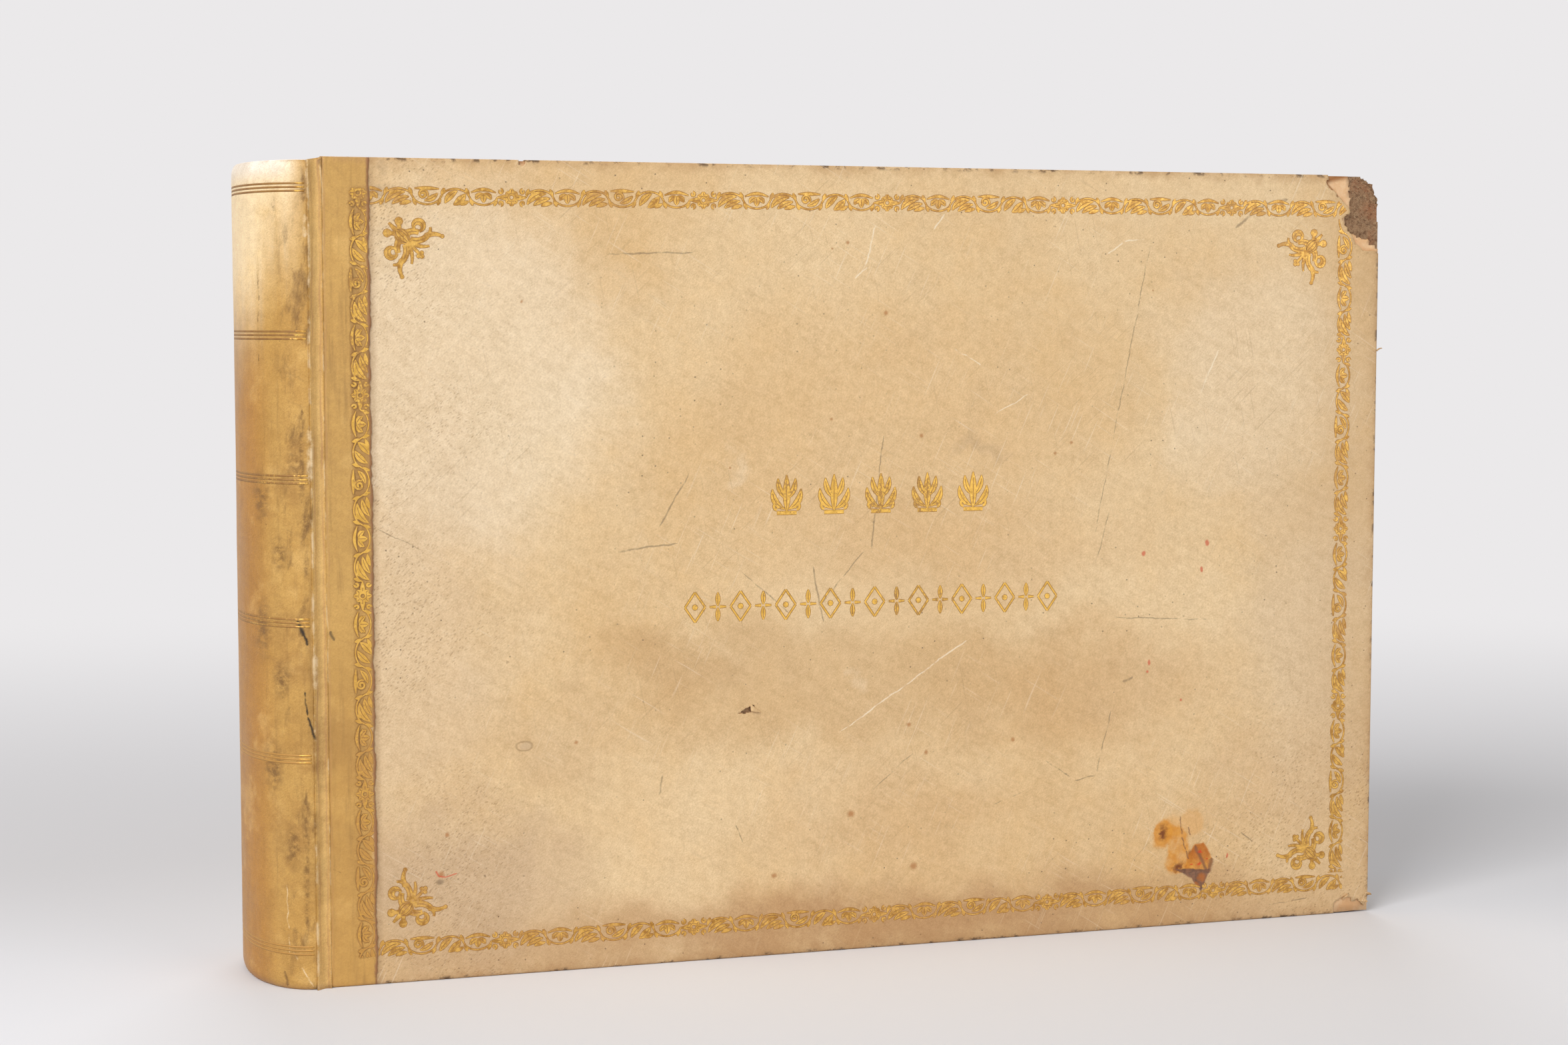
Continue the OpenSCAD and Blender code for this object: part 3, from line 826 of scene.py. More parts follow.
def side_vellum_material(name, clouds, dark_lines, pale_lines, brown_spots, stained):
    """Vellum of a board with the marks listed for it; stained adds the red and amber spills."""
    material, shader, place = start_material(name, 0.5, 0.32)
    axes = shader.axes(place)
    flat = shader.joined(axes["X"], 0.0, axes["Z"])
    drift = shader.shaken(flat, 26.0, 70 * MM, 6.0)
    tight = shader.shaken(flat, 110.0, 2.6 * MM)
    breaks = shader.rise(shader.noise(flat, 130, 3, 0.6), 0.2, 0.5)
    left = shader.fall(axes["X"], joint_x + 30 * MM, joint_x + 130 * MM)
    low_right = shader.times(
        shader.rise(axes["X"], 100 * MM, 250 * MM), shader.fall(axes["Z"], 50 * MM, 160 * MM)
    )
    thin = shader.rise(shader.noise(flat, 16, 3), 0.36, 0.6)
    skin = shader.group(vellum_skin, {
        "Place": place, "Pale": side_pale, "Tan": side_tan, "Dirt": side_dirt_and_shadow,
        "Dirtiness": 0.5, "Pores": shader.times(shader.larger(left, low_right), thin),
    })
    colour = skin["Colour"]
    for centre, size, soft, share, shade in clouds:
        colour = shader.mix(spots(shader, drift, [(centre, size)], soft, share), colour, tone(*shade))

    # Fly spots, which crowd along the outer edges
    near = shader.smaller(shader.minus(fore_x, axes["X"]), axes["Z"])
    near = shader.smaller(near, shader.minus(head_z, axes["Z"]))
    upright = shader.joined(axes["X"], axes["Z"])
    dots = shader.node("TexVoronoi", {"Vector": upright, "Scale": 170.0}, voronoi_dimensions="2D").outputs
    few = shader.rise(shader.node("SeparateColor", {0: dots["Color"]}).outputs[0], 0.72, 0.95, 0.9)
    crowded = shader.rise(shader.noise(flat, 17, 3), 0.42, 0.62)
    crowded = shader.larger(crowded, shader.fall(near, 8 * MM, 26 * MM))
    dot = shader.times(shader.fall(dots["Distance"], 0.03, 0.08), few, crowded)
    colour = shader.mix(dot, colour, pencil)
    colour = shader.mix(1.0, colour, skin["Shade"], "MULTIPLY")

    # Browned and chipped edges; a darkening towards the tail and the fore edge that is partly browning and
    # partly painted shade; and the seam beside the lap, grime with a painted shadow of the lap's edge
    ragged = shader.times(shader.noise(place, 120, 5, 0.65), 14 * MM)
    rim = shader.fall(shader.plus(near, ragged), 3 * MM, 13 * MM, 0.75)
    colour = shader.mix(rim, colour, edge_brown_and_shade)
    # Darker towards the tail and the fore edge: partly browning, partly painted shade
    low = shader.fall(axes["Z"], 0, 40 * MM, 0.3)
    outer = shader.rise(axes["X"], fore_x - 50 * MM, fore_x, 0.3)
    colour = shader.mix(shader.larger(low, outer), colour, edge_brown_and_shade)
    # Along the seam beside the lap: grime and a painted shadow of the lap's raised edge
    seam_grime_and_shadow = shader.fall(axes["X"], lap_x + 1.2 * MM, lap_x + 4 * MM)
    colour = shader.mix(shader.times(seam_grime_and_shadow, 0.35), colour, side_dirt_and_shadow)
    chips = shader.rise(shader.noise(place, 190, 4, 0.65), 0.52, 0.64, 0.85)
    chips = shader.times(shader.fall(near, 0.6 * MM, 2.2 * MM), chips)
    colour = shader.mix(chips, colour, chip_brown)

    # Hairlines, pencil marks, rubbed lines, foxing and spills
    worked = shader.rise(shader.noise(flat, 11, 3, 0.5), 0.4, 0.62)
    for degrees, hair_tone, share in hairlines:
        hairs = shader.noise(shader.turned(flat, degrees, (0.0009, 1.0, 0.03)), 1.0, 1.0, 0.5)
        hairs = shader.times(shader.rise(hairs, 0.64, 0.74, share), worked)
        colour = shader.mix(hairs, colour, hair_tone)
    colour = shader.mix(lines(shader, tight, dark_lines, 0.6, breaks), colour, pencil)
    colour = shader.mix(lines(shader, tight, pale_lines, 0.85, breaks), colour, rubbed)
    foxed = [(centre, (radius, radius)) for centre, radius in brown_spots]
    colour = shader.mix(spots(shader, tight, foxed, 0.8, 0.7), colour, rust)
    rough = skin["Roughness"]
    if stained:
        colour, burnt = spilled(shader, axes, flat, tight, colour)
        rough = shader.minus(rough, shader.times(burnt, 0.2))
    shader.dress(colour, skin["Height"], 0.55, 0.3 * MM)
    shader.feed(shader.surface["Roughness"], rough)
    return material


front_vellum_finish = side_vellum_material(
    "vellum_front", clouds_seen, pencil_lines, rub_lines, foxing, True
)
back_vellum_finish = side_vellum_material(
    "vellum_back", back_clouds, back_scores[:11], back_scores[11:], back_foxing, False
)


def edge_room(x, z):
    """Distance of a place on a cover from its nearest outer edge."""
    return min(fore_x - x, z, head_z - z)


def cockle(x, z):
    """How far the skin stands off the flat of its board, in slow waves that die at the edges."""
    calm = limited(edge_room(x, z) / (12 * MM))
    return calm * (slow_wave * ripple(x, z, 8, 1.7) + quick_wave * ripple(x, z, 34, 5.1))


def way_out(x, z, low_round):
    """Nearest point of the cover's core, the direction outwards from it and the corner's radius."""
    radius = low_round if z < head_z / 2 else corner_round
    core = Vector((min(x, fore_x - radius), 0, min(max(z, radius), head_z - radius)))
    return core, (Vector((x, 0, z)) - core).normalized(), radius


def ends_of(edges):
    """All the vertices of some edges, each once."""
    return {v for e in edges for v in e.verts}


def drawn_out(bm, edges):
    """Extrudes a run of edges in place and returns the new run."""
    made = bmesh.ops.extrude_edge_only(bm, edges=edges)["geom"]
    fresh = {g for g in made if isinstance(g, bmesh.types.BMVert)}
    return [g for g in made if isinstance(g, bmesh.types.BMEdge) and set(g.verts) <= fresh]


def wrap_over_edges(bm, depth, tucked_x, low_round=corner_round):
    """Carries the outer rim of a skin round the board edges; it lies lower left of tucked_x."""
    rim = []
    for edge in bm.edges:
        rooms = []
        for v in edge.verts:
            core, _, radius = way_out(v.co.x, v.co.z, low_round)
            rooms.append(radius - edge_round - (flat_place(v) - core).length)
        if edge.is_boundary and max(rooms) < 0.05 * MM:
            rim.append(edge)
    bends = [math.radians(18 * i) for i in range(1, 6)]
    section = [(edge_round * (math.sin(a) - 1), edge_round * (1 - math.cos(a))) for a in bends]
    section += [
        (edge_round * (math.cos(a) - 1), depth + edge_round * (math.sin(a) - 1)) for a in [0, *bends]
    ]
    for reach, drop in section:
        rim = drawn_out(bm, rim)
        for v in ends_of(rim):
            core, out, radius = way_out(v.co.x, v.co.z, low_round)
            tuck = tuck_depth if v.co.x < tucked_x else 0
            v.co = core + out * (radius + reach - tuck)
            v.co.y = front_y + drop
    rim = drawn_out(bm, rim)
    for v in ends_of(rim):
        v.co.x = min(v.co.x, fore_x - turn_in)
        v.co.z = min(max(v.co.z, turn_in), head_z - turn_in)
    bmesh.ops.remove_doubles(bm, verts=bm.verts, dist=0.01 * MM)


def other_side(bm):
    """The same piece on the back of the album."""
    bmesh.ops.scale(bm, vec=(1, -1, 1), verts=bm.verts)
    bmesh.ops.reverse_faces(bm, faces=bm.faces)
    return bm


def same_side(bm):
    """A piece stays on the front, where it was made."""
    return bm


side_turns = {"front": same_side, "back": other_side}


head_tear = torn_outline(head_corner, vellum_tear, 0.5 * MM, 2.9)


def side_skin(worn):
    """Outer skin of a board from under the lap to the turned in edges."""
    low_round = tail_round if worn else corner_round
    bm = upright_grid(lap_x - under_lap, fore_x - edge_round, edge_round, head_z - edge_round, skin_cell)
    for corner in (head_corner, tail_corner):
        refine(bm, corner, 9 * MM, 2)
    if worn:
        refine(bm, head_corner, 50 * MM, 1)
        refine(bm, head_corner, 46 * MM, 1)
        refine(bm, tail_corner, 24 * MM, 2)
        refine(bm, hole_spot, 12 * MM, 3)
        refine(bm, nick_spot, 6 * MM, 3)
    for v in bm.verts:
        core, _, radius = way_out(v.co.x, v.co.z, low_round)
        flat = radius - edge_round
        along = (v.co.x - core.x) / flat
        up = (v.co.z - core.z) / flat
        if along > 0 and up != 0:
            v.co.x = core.x + flat * along * math.sqrt(1 - up * up / 2)
            v.co.z = core.z + flat * up * math.sqrt(1 - along * along / 2)
    if worn:
        cut_away(bm, head_tear, 0.5 * MM)
        cut_away(bm, torn_outline(tail_corner, tail_chip, 0.4 * MM, 4.1), 0.4 * MM)
        cut_away(bm, torn_outline(hole_spot, puncture, 0.2 * MM, 6.2), 0.25 * MM)
        cut_away(bm, torn_outline(nick_spot, head_notch, 0.2 * MM, 7.7), 0.25 * MM)
    for v in bm.verts:
        v.co.y = front_y - cockle(v.co.x, v.co.z)
        off = (flat_place(v) - head_corner).length
        if worn and v.is_boundary and off < 46 * MM and edge_room(v.co.x, v.co.z) > 2 * MM:
            v.co.y -= tear_lift
    wrap_over_edges(bm, wrap_depth, lap_x - 1 * MM, low_round)
    return bm


front_skin = make_piece("side_vellum_front", side_skin(True), front_vellum_finish)
thicken(front_skin, skin_t)
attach(front_skin, "front_cover")
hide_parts("front_vellum")

# Torn tongues of skin: one beside the puncture, the others along the outer edges. Each of those
# has its root in mm from the tail corner, its aim, its length and its width in mm.
tongue_t = 0.3 * MM
tongue_lift = 0.1 * MM
tongue_bend = 2.0
tongues = [
    (-0.6, 268, (0.75, 0.66), 3.6, 0.9), (-2.2, 8.4, (0.97, 0.2), 4.0, 2.2),
    (-3.4, 6.0, (0.8, -0.4), 3.4, 2.6), (-12, 7.4, (-0.5, 0.8), 2.2, 5.0),
]
bm = upright_grid(0, 1, 0, 1, 0.25)
for v in bm.verts:
    along, across = v.co.x, v.co.z - 0.5
    up = 1.3 - 2.6 * along + 3.2 * across * (1 - along)
    v.co = hole_spot + Vector(((0.4 + 5.2 * along) * MM, 0, up * MM))
    curled = 1.1 * MM * math.sin(1.9 * (1 - along)) * (0.5 - across)
    v.co.y = front_y - cockle(v.co.x, v.co.z) - tongue_lift - curled
for du, dz, (aim_x, aim_z), length, wide in tongues:
    tongue = upright_grid(0, 1, -0.5, 0.5, 0.2)
    for v in tongue.verts:
        bend = tongue_bend * v.co.x
        ahead = length * MM * math.sin(bend) / tongue_bend
        across = wide * MM * v.co.z * (1 - 0.75 * v.co.x)
        v.co.x = fore_x + du * MM + aim_x * ahead - aim_z * across
        v.co.y = front_y - tongue_lift - length * MM * (1 - math.cos(bend)) / tongue_bend
        v.co.z = dz * MM + aim_z * ahead + aim_x * across
    join_copy(bm, tongue)
    tongue.free()
flap = make_piece("vellum_tongues_front", bm, front_vellum_finish)
thicken(flap, tongue_t)
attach(flap, "front_cover")

back_skin = make_piece("side_vellum_back", other_side(side_skin(False)), back_vellum_finish)
thicken(back_skin, skin_t)
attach(back_skin, "back_cover")
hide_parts("back_vellum")

# Spine vellum: a yellower skin moulded over the stiff round back and turned in at both ends.
# Its joints flex between the spine's shoulders and the boards, and its laps are pasted on these.
spine_low, spine_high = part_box("spine_vellum")
back_x = spine_low.x
shoulder_x = spine_high.x
spine_depth = spine_high.x - spine_low.x
spine_half = spine_high.y
spine_head = spine_high.z + 0.9 * MM
cap_h = 5 * MM
cap_lean = 2.2 * MM
spine_wall = 4 * MM
spine_skin_t = 0.6 * MM
lap_t = 0.35 * MM
lap_cell = 1.6 * MM
lap_lip = 0.36 * MM
cheek_h = 5 * MM
fillet_heights = [337, 276, 216, 156, 98.5, 17]
fillet_pitch = 1.55 * MM
fillet_groove = 0.22 * MM
fillet_half = 0.55 * MM
left_run_x = joint_x + 15.0 * MM

spine_pale = tone(215, 172, 99)
spine_tan = tone(192, 145, 74)
spine_dirt = tone(116, 82, 44)
spine_bleach_and_highlight = tone(255, 227, 180)
spine_grime_and_shade = tone(156, 112, 58)
spine_handled = tone(232, 192, 122)
cap_highlight = tone(255, 244, 230)
flank_shade = tone(186, 127, 46)
groove_painted_light = tone(238, 198, 128)
lap_pale = tone(216, 180, 118)
lap_tail = tone(198, 144, 66)
lap_streak = tone(160, 122, 68)
roll_ground = tone(150, 106, 56)
ink_black = tone(38, 32, 26)
ridge_pale_and_highlight = tone(246, 222, 180)
glue_brown = tone(164, 116, 80)


def spine_point(angle, depth):
    """Point of the spine's half ellipse, depth below its face; angle 0 is the middle of the back."""
    across = Vector((-math.cos(angle) / spine_depth, math.sin(angle) / spine_half)).normalized()
    face = Vector((shoulder_x - spine_depth * math.cos(angle), spine_half * math.sin(angle)))
    return face - across * depth


def fillet_depth(z):
    """Depth of the impressed lines at a height of the spine."""
    for middle in fillet_heights:
        for line in (-1, 0, 1):
            off = abs(z - middle * MM - line * fillet_pitch)
            if off < fillet_half:
                return fillet_groove * (1 - off / fillet_half)
    return 0.0


def spine_dent(angle, z):
    """Slow hollows and swellings of the moulded back."""
    slow = noise.noise(Vector((angle * 2.2, z * 14, 3.3)))
    quick = noise.noise(Vector((angle * 7.5, z * 46, 8.8)))
    return (0.28 * slow + 0.10 * quick) * MM


def shoulder_fade(angle, width):
    """0 at the spine's shoulders, rising to 1 over a width of angle."""
    return limited((math.pi / 2 - abs(angle)) / width)


def on_spine(x, z):
    """Place on the spine's front flank, in mm of the shared frame, as the marks read it."""
    return (x * MM, 0, z * MM)


# Marks of the front shoulder: ends in mm (x, z) and width, or centre and size
ink_lines = [
    ((-243.4, 157.5), (-240.6, 150), 1.3), ((-240.9, 151), (-239.4, 146.5), 0.8),
    ((-240.8, 127.6), (-239.8, 116.7), 0.6), ((-239.8, 116.7), (-236.6, 106.4), 0.8),
    ((-229.8, 152.4), (-227.8, 147.8), 1.0),
]
brown_lines = [
    ((-256, 304), (-256.2, 262), 0.35), ((-238.6, 342), (-238.2, 331), 1.6),
    ((-250, 334), (-250.2, 327), 0.9), ((-240.8, 87), (-241, 22), 1.5), ((-240.4, 246), (-241, 205), 1.6),
    ((-231.6, 349), (-230.6, 342), 1.2), ((-230, 51), (-226.4, 49), 0.5), ((-250, 8), (-249, 1), 0.7),
    ((-256, 7), (-255, 1), 0.7), ((-245, 222), (-239.6, 214), 0.6),
]
pale_lines = [
    ((-236.2, 143), (-236.3, 126), 1.6), ((-247, 17), (-238.4, 1), 0.5), ((-238.2, 326), (-238, 316), 1.4),
    ((-249, 48), (-248, 14), 0.3), ((-237.5, 238), (-237.3, 214), 1.8), ((-212.6, 112), (-212.4, 102), 1.2),
    ((-212.6, 66), (-212.6, 54), 1.0), ((-212.4, 262), (-212.4, 258), 1.0),
]
smudges = [
    ((-243.6, 223), (4.4, 7)), ((-239.6, 197), (2.4, 9)), ((-239.4, 180), (1.6, 7)), ((-249.4, 132), (5, 12)),
    ((-256, 153), (4, 18)), ((-253, 95), (5, 16)), ((-249.7, 185), (4, 11)), ((-246, 62), (4, 14)),
    ((-238.6, 341), (1.4, 5)), ((-256, 208), (4, 16)),
]


def spine_marks(shader, axes, colour):
    """Lays the smudges, brown and pale lines and ink of the front shoulder over a colour."""
    flat = shader.joined(axes["X"], 0.0, axes["Z"])
    front = shader.fall(axes["Y"], -2 * MM, 0)
    shaken = shader.shaken(flat, 170.0, 2.4 * MM, 3.0)
    broken = shader.rise(shader.noise(flat, 210, 5, 0.7), 0.4, 0.6)
    patchy = shader.rise(shader.noise(flat, 330, 5, 0.7), 0.38, 0.62, 0.8)
    soiled = shader.times(spots(shader, shaken, smudges, 0.9, patchy, on_spine), front)
    colour = shader.mix(soiled, colour, spine_dirt)
    for listed, mark_tone, share, breaks in (
        (brown_lines, spine_dirt, 0.75, broken), (pale_lines, ridge_pale_and_highlight, 0.7, broken),
        (ink_lines, ink_black, 0.95, 1.0),
    ):
        marks = shader.times(lines(shader, shaken, listed, share, breaks, on_spine), front)
        colour = shader.mix(marks, colour, mark_tone)
    return colour


def lap_tones(shader, place, axes, runs, scuffs, wave, colour):
    """Lays what is seen on a lap over a colour: streaks, the ground of the roll and the glued edge."""
    colour = shader.mix(0.2, colour, lap_pale)
    colour = shader.mix(shader.fall(axes["Z"], 80 * MM, 200 * MM, 0.3), colour, lap_tail)
    colour = shader.mix(shader.rise(runs, 0.46, 0.68, 0.42), colour, lap_streak)
    rolled = shader.plus(shader.gap(axes["X"], left_run_x), wave)
    rolled = shader.times(
        shader.fall(rolled, 2.8 * MM, 4.6 * MM, 0.6),
        shader.rise(axes["Z"], 90 * MM, 190 * MM),
        shader.fall(axes["Z"], head_z - 14 * MM, head_z - 11 * MM),
        shader.rise(scuffs, 0.3, 0.6),
    )
    colour = shader.mix(rolled, colour, roll_ground)
    ragged = shader.times(shader.noise(place, 170, 5, 0.65), 3.2 * MM)
    edge = shader.rise(shader.plus(axes["X"], ragged), lap_x + 0.6 * MM, lap_x + 1.8 * MM, 0.9)
    return shader.mix(edge, colour, glue_brown)


def spine_vellum_material(name, lapped):
    """Yellow vellum of the spine, joints and laps; lapped adds what is seen on a lap."""
    material, shader, place = start_material(name, 0.42, 0.3)
    axes = shader.axes(place)
    skin = shader.group(vellum_skin, {
        "Place": place, "Pale": spine_pale, "Tan": spine_tan, "Dirt": spine_dirt,
        "Dirtiness": 0.75, "Pores": 0.12,
    })
    runs = shader.noise(shader.turned(place, 0, (0.004, 0.004, 0.06)), 1.0, 5, 0.65)
    scuffs = shader.noise(shader.turned(place, 12, (0.012, 0.012, 0.03)), 1.0, 7, 0.72)
    colour = shader.mix(shader.rise(runs, 0.52, 0.78, 0.5), skin["Colour"], spine_dirt)

    # Paler head of the back: partly bleached skin, partly a painted highlight from the light above it, with a
    # whiter painted highlight on the head cap
    bleach_and_highlight = shader.plus(axes["Z"], shader.times(runs, 40 * MM))
    bleach_and_highlight = shader.plus(bleach_and_highlight, shader.fall(axes["X"], back_x + 1 * MM, back_x + 14 * MM, 44 * MM))
    bleach_and_highlight = shader.times(
        shader.rise(bleach_and_highlight, 300 * MM, 380 * MM, 0.95),
        shader.fall(axes["X"], back_x + 17 * MM, back_x + 27 * MM),
    )
    colour = shader.mix(bleach_and_highlight, colour, spine_bleach_and_highlight)
    # Whiter painted highlight on the rounded head cap
    cap_highlight_mask = shader.times(
        shader.rise(axes["Z"], 337 * MM, 347 * MM, 0.8),
        shader.fall(axes["X"], back_x + 13 * MM, back_x + 23 * MM),
    )
    colour = shader.mix(cap_highlight_mask, colour, cap_highlight)

    # Soiled shoulders; in the joint's groove less smudge and a paler colour, light painted in against the
    # groove's own shade
    side = shader.maths("ABSOLUTE", axes["Y"])
    hinge = shader.times(
        shader.rise(side, spine_half - 9 * MM, spine_half - 1.5 * MM),
        shader.fall(axes["X"], joint_x - 4 * MM, joint_x),
    )
    joint_groove = shader.times(
        shader.rise(axes["X"], shoulder_x, shoulder_x + 1.2 * MM),
        shader.fall(axes["X"], joint_x - 1 * MM, joint_x),
    )
    groove_spared = shader.minus(1.0, shader.times(joint_groove, 0.6))
    smudge = shader.times(hinge, shader.rise(scuffs, 0.5, 0.66, 0.7), groove_spared)
    colour = shader.mix(smudge, colour, spine_dirt)
    # Painted light: the joint's groove made paler to offset its shade
    colour = shader.mix(shader.times(joint_groove, 0.5), colour, groove_painted_light)

    # Grime of the lower back with painted shade towards its outer flank, a painted shade low on that flank,
    # and its handled patches
    lower = shader.fall(shader.plus(axes["Z"], shader.times(scuffs, 60 * MM)), 250 * MM, 330 * MM)
    blotch = shader.rise(shader.noise(place, 32, 6, 0.68), 0.46, 0.68, 0.55)
    # Painted shade, darker towards the back's outer flank, laid on with the grime
    outer = shader.plus(axes["X"], shader.times(scuffs, 6 * MM))
    outer = shader.fall(outer, back_x + 4.5 * MM, back_x + 13 * MM, 0.6)
    colour = shader.mix(shader.times(shader.larger(blotch, outer), lower), colour, spine_grime_and_shade)
    # Painted shade on the lower outer flank
    flank_shade_mask = shader.times(
        shader.fall(axes["X"], back_x + 2.5 * MM, back_x + 13 * MM, 0.75),
        shader.fall(axes["Z"], 240 * MM, 310 * MM),
    )
    colour = shader.mix(flank_shade_mask, colour, flank_shade)
    handled = shader.rise(shader.noise(place, 48, 5, 0.65), 0.54, 0.68, 0.25)
    colour = shader.mix(handled, colour, spine_handled)
    colour = shader.mix(1.0, colour, skin["Shade"], "MULTIPLY")
    drifts = shader.plus(shader.times(shader.noise(place, 24, 6, 0.68), 0.5), 0.74)
    drifts = shader.node("CombineColor", {0: drifts, 1: drifts, 2: drifts}).outputs[0]
    colour = shader.mix(1.0, colour, drifts, "MULTIPLY")

    # Browned ends, pale ridge lines that are partly rubbed skin and partly painted highlight, and the furrows
    # beside them
    ends = shader.smaller(axes["Z"], shader.minus(head_z, axes["Z"]))
    ends = shader.fall(shader.plus(ends, shader.times(scuffs, 11 * MM)), 4 * MM, 9 * MM, 0.5)
    colour = shader.mix(ends, colour, glue_brown)
    wave = shader.times(shader.minus(shader.noise(place, 60, 4, 0.6), 0.5), 2.4 * MM)
    shifted = shader.plus(axes["X"], wave)
    # Pale lines on the shoulder ridge and the joint crease: partly rubbed skin, partly painted highlight
    ridges = shader.fall(shader.gap(shifted, shoulder_x + 0.1 * MM), 0.2 * MM, 0.9 * MM, 0.8)
    creases = shader.fall(shader.gap(shifted, joint_x), 0.1 * MM, 0.5 * MM, 0.6)
    rubbing_and_highlight = shader.rise(shader.noise(place, 75, 6, 0.75), 0.46, 0.62, 0.75)
    colour = shader.mix(shader.times(shader.larger(ridges, creases), rubbing_and_highlight), colour, ridge_pale_and_highlight)
    for middle, wide in ((joint_x - 1.1 * MM, 0.7), (joint_x + 0.8 * MM, 0.7), (shoulder_x + 1.4 * MM, 0.6)):
        furrow = shader.fall(shader.gap(shifted, middle), 0.1 * MM, wide * MM, 0.5)
        colour = shader.mix(shader.times(furrow, shader.rise(runs, 0.3, 0.6)), colour, glue_brown)
    colour = spine_marks(shader, axes, colour)
    if lapped:
        colour = lap_tones(shader, place, axes, runs, scuffs, wave, colour)
    shader.dress(colour, shader.plus(skin["Height"], shader.times(scuffs, 1.2)), 0.5, 0.4 * MM)
    shader.feed(shader.surface["Roughness"], shader.minus(skin["Roughness"], 0.1))
    return material


spine_finish = spine_vellum_material("vellum_spine", False)
lap_finish = spine_vellum_material("vellum_lap", True)


def swing_round(bm, first, sweep, steps):
    """Sweeps lines that stand near (0, -1) round the upright axis, from an angle past that place."""
    bmesh.ops.rotate(bm, cent=(0, 0, 0), matrix=Matrix.Rotation(-first, 3, "Z"), verts=bm.verts)
    bmesh.ops.spin(
        bm, geom=bm.verts[:] + bm.edges[:], axis=(0, 0, 1), cent=(0, 0, 0),
        angle=-sweep, steps=steps, use_merge=False,
    )


def face_backwards(bm):
    """Turns the faces of a sheet round the back outwards."""
    bmesh.ops.recalc_face_normals(bm, faces=bm.faces)
    if sum(f.normal.x * f.calc_area() for f in bm.faces if abs(f.calc_center_median().y) < 20 * MM) > 0:
        bmesh.ops.reverse_faces(bm, faces=bm.faces)


# The spine's upright section, as depth below the face and height, from turn in to turn in.
# Its steps are finest in the grooves of the fillets.
bends = [math.radians(15 * i) for i in range(7)]
lip = [
    (spine_wall, turn_in), (spine_wall, cap_h), (spine_wall, 0.8 * MM), (spine_wall - 0.7 * MM, 0.1 * MM),
]
lip += [(cap_lean * (1 - math.cos(a)), cap_h - cap_h * math.sin(a)) for a in reversed(bends)]
section = lip[:]
z = cap_h
while z < spine_head - cap_h - 2 * MM:
    near = min(abs(z - middle * MM) for middle in fillet_heights)
    z += 0.26 * MM if near < 2.4 * MM else 1.3 * MM if near < 5 * MM else 3 * MM
    section.append((0.0, z))
section += [(depth, spine_head - height) for depth, height in reversed(lip[:-1])]
bm = bmesh.new()
chain = [bm.verts.new((0, -1 + depth, z)) for depth, z in section]
for a, b in zip(chain, chain[1:]):
    bm.edges.new((a, b))
swing_round(bm, 0.0, math.pi, 72)
for v in bm.verts:
    depth = 1 - math.hypot(v.co.x, v.co.y)
    angle = math.atan2(v.co.y, -v.co.x)
    if depth < spine_wall / 2:
        depth += fillet_depth(v.co.z) * shoulder_fade(angle, 0.1)
        depth -= spine_dent(angle, v.co.z) * shoulder_fade(angle, 0.35)
    flat = spine_point(angle, depth)
    v.co.x, v.co.y = flat.x, flat.y
face_backwards(bm)
spine_skin = make_piece("spine_vellum_skin", bm, spine_finish)
thicken(spine_skin, spine_skin_t)
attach(spine_skin, "binding")
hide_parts("spine_vellum")
dress_node("spine_card", pasteboard)

joint_w = joint_x - shoulder_x


def joint_face(share, z):
    """Face of the joint from the shoulder, share 0, to the board's edge, share 1."""
    y = -spine_half + (front_y + spine_half) * (1 - math.cos(math.pi * share)) / 2
    hollow = 0.9 * MM * math.sin(math.pi * share) ** 2
    ridge = 0.45 * MM * math.exp(-((share - 1) / 0.10) ** 2) + 0.3 * MM * math.exp(-(share / 0.08) ** 2)
    crumple = 0.22 * MM * noise.noise(Vector((share * 3.1, z * 30, 6.6)))
    crumple += 0.12 * MM * noise.noise(Vector((share * 9.0, z * 120, 2.2)))
    return y + hollow - ridge + crumple * math.sin(math.pi * share)


def split_edges(bm, upright, cuts):
    """Cuts the upright edges of a sheet, or else its level ones, into equal lengths."""
    edges = [e for e in bm.edges if (abs(e.verts[0].co.z - e.verts[1].co.z) > 1 * MM) == upright]
    bmesh.ops.subdivide_edges(bm, edges=edges, cuts=cuts)


def joint_strip():
    """Flexible strip of the spine vellum between a shoulder and its board."""
    bm = upright_grid(shoulder_x, joint_x, 0, 1, 1)
    split_edges(bm, False, 15)
    split_edges(bm, True, 119)
    for v in bm.verts:
        share = (v.co.x - shoulder_x) / joint_w
        top = spine_head + (head_z - 0.4 * MM - spine_head) * share
        v.co.z *= top
        v.co.y = joint_face(share, v.co.z)
    return bm


def lap_edge(z):
    """Worn edge of a lap at a height."""
    slow = noise.noise(Vector((4.4, 0, z * 90)))
    quick = noise.noise(Vector((9.1, 0, z * 420)))
    return lap_x + (0.5 + 0.8 * slow + 0.7 * quick) * MM


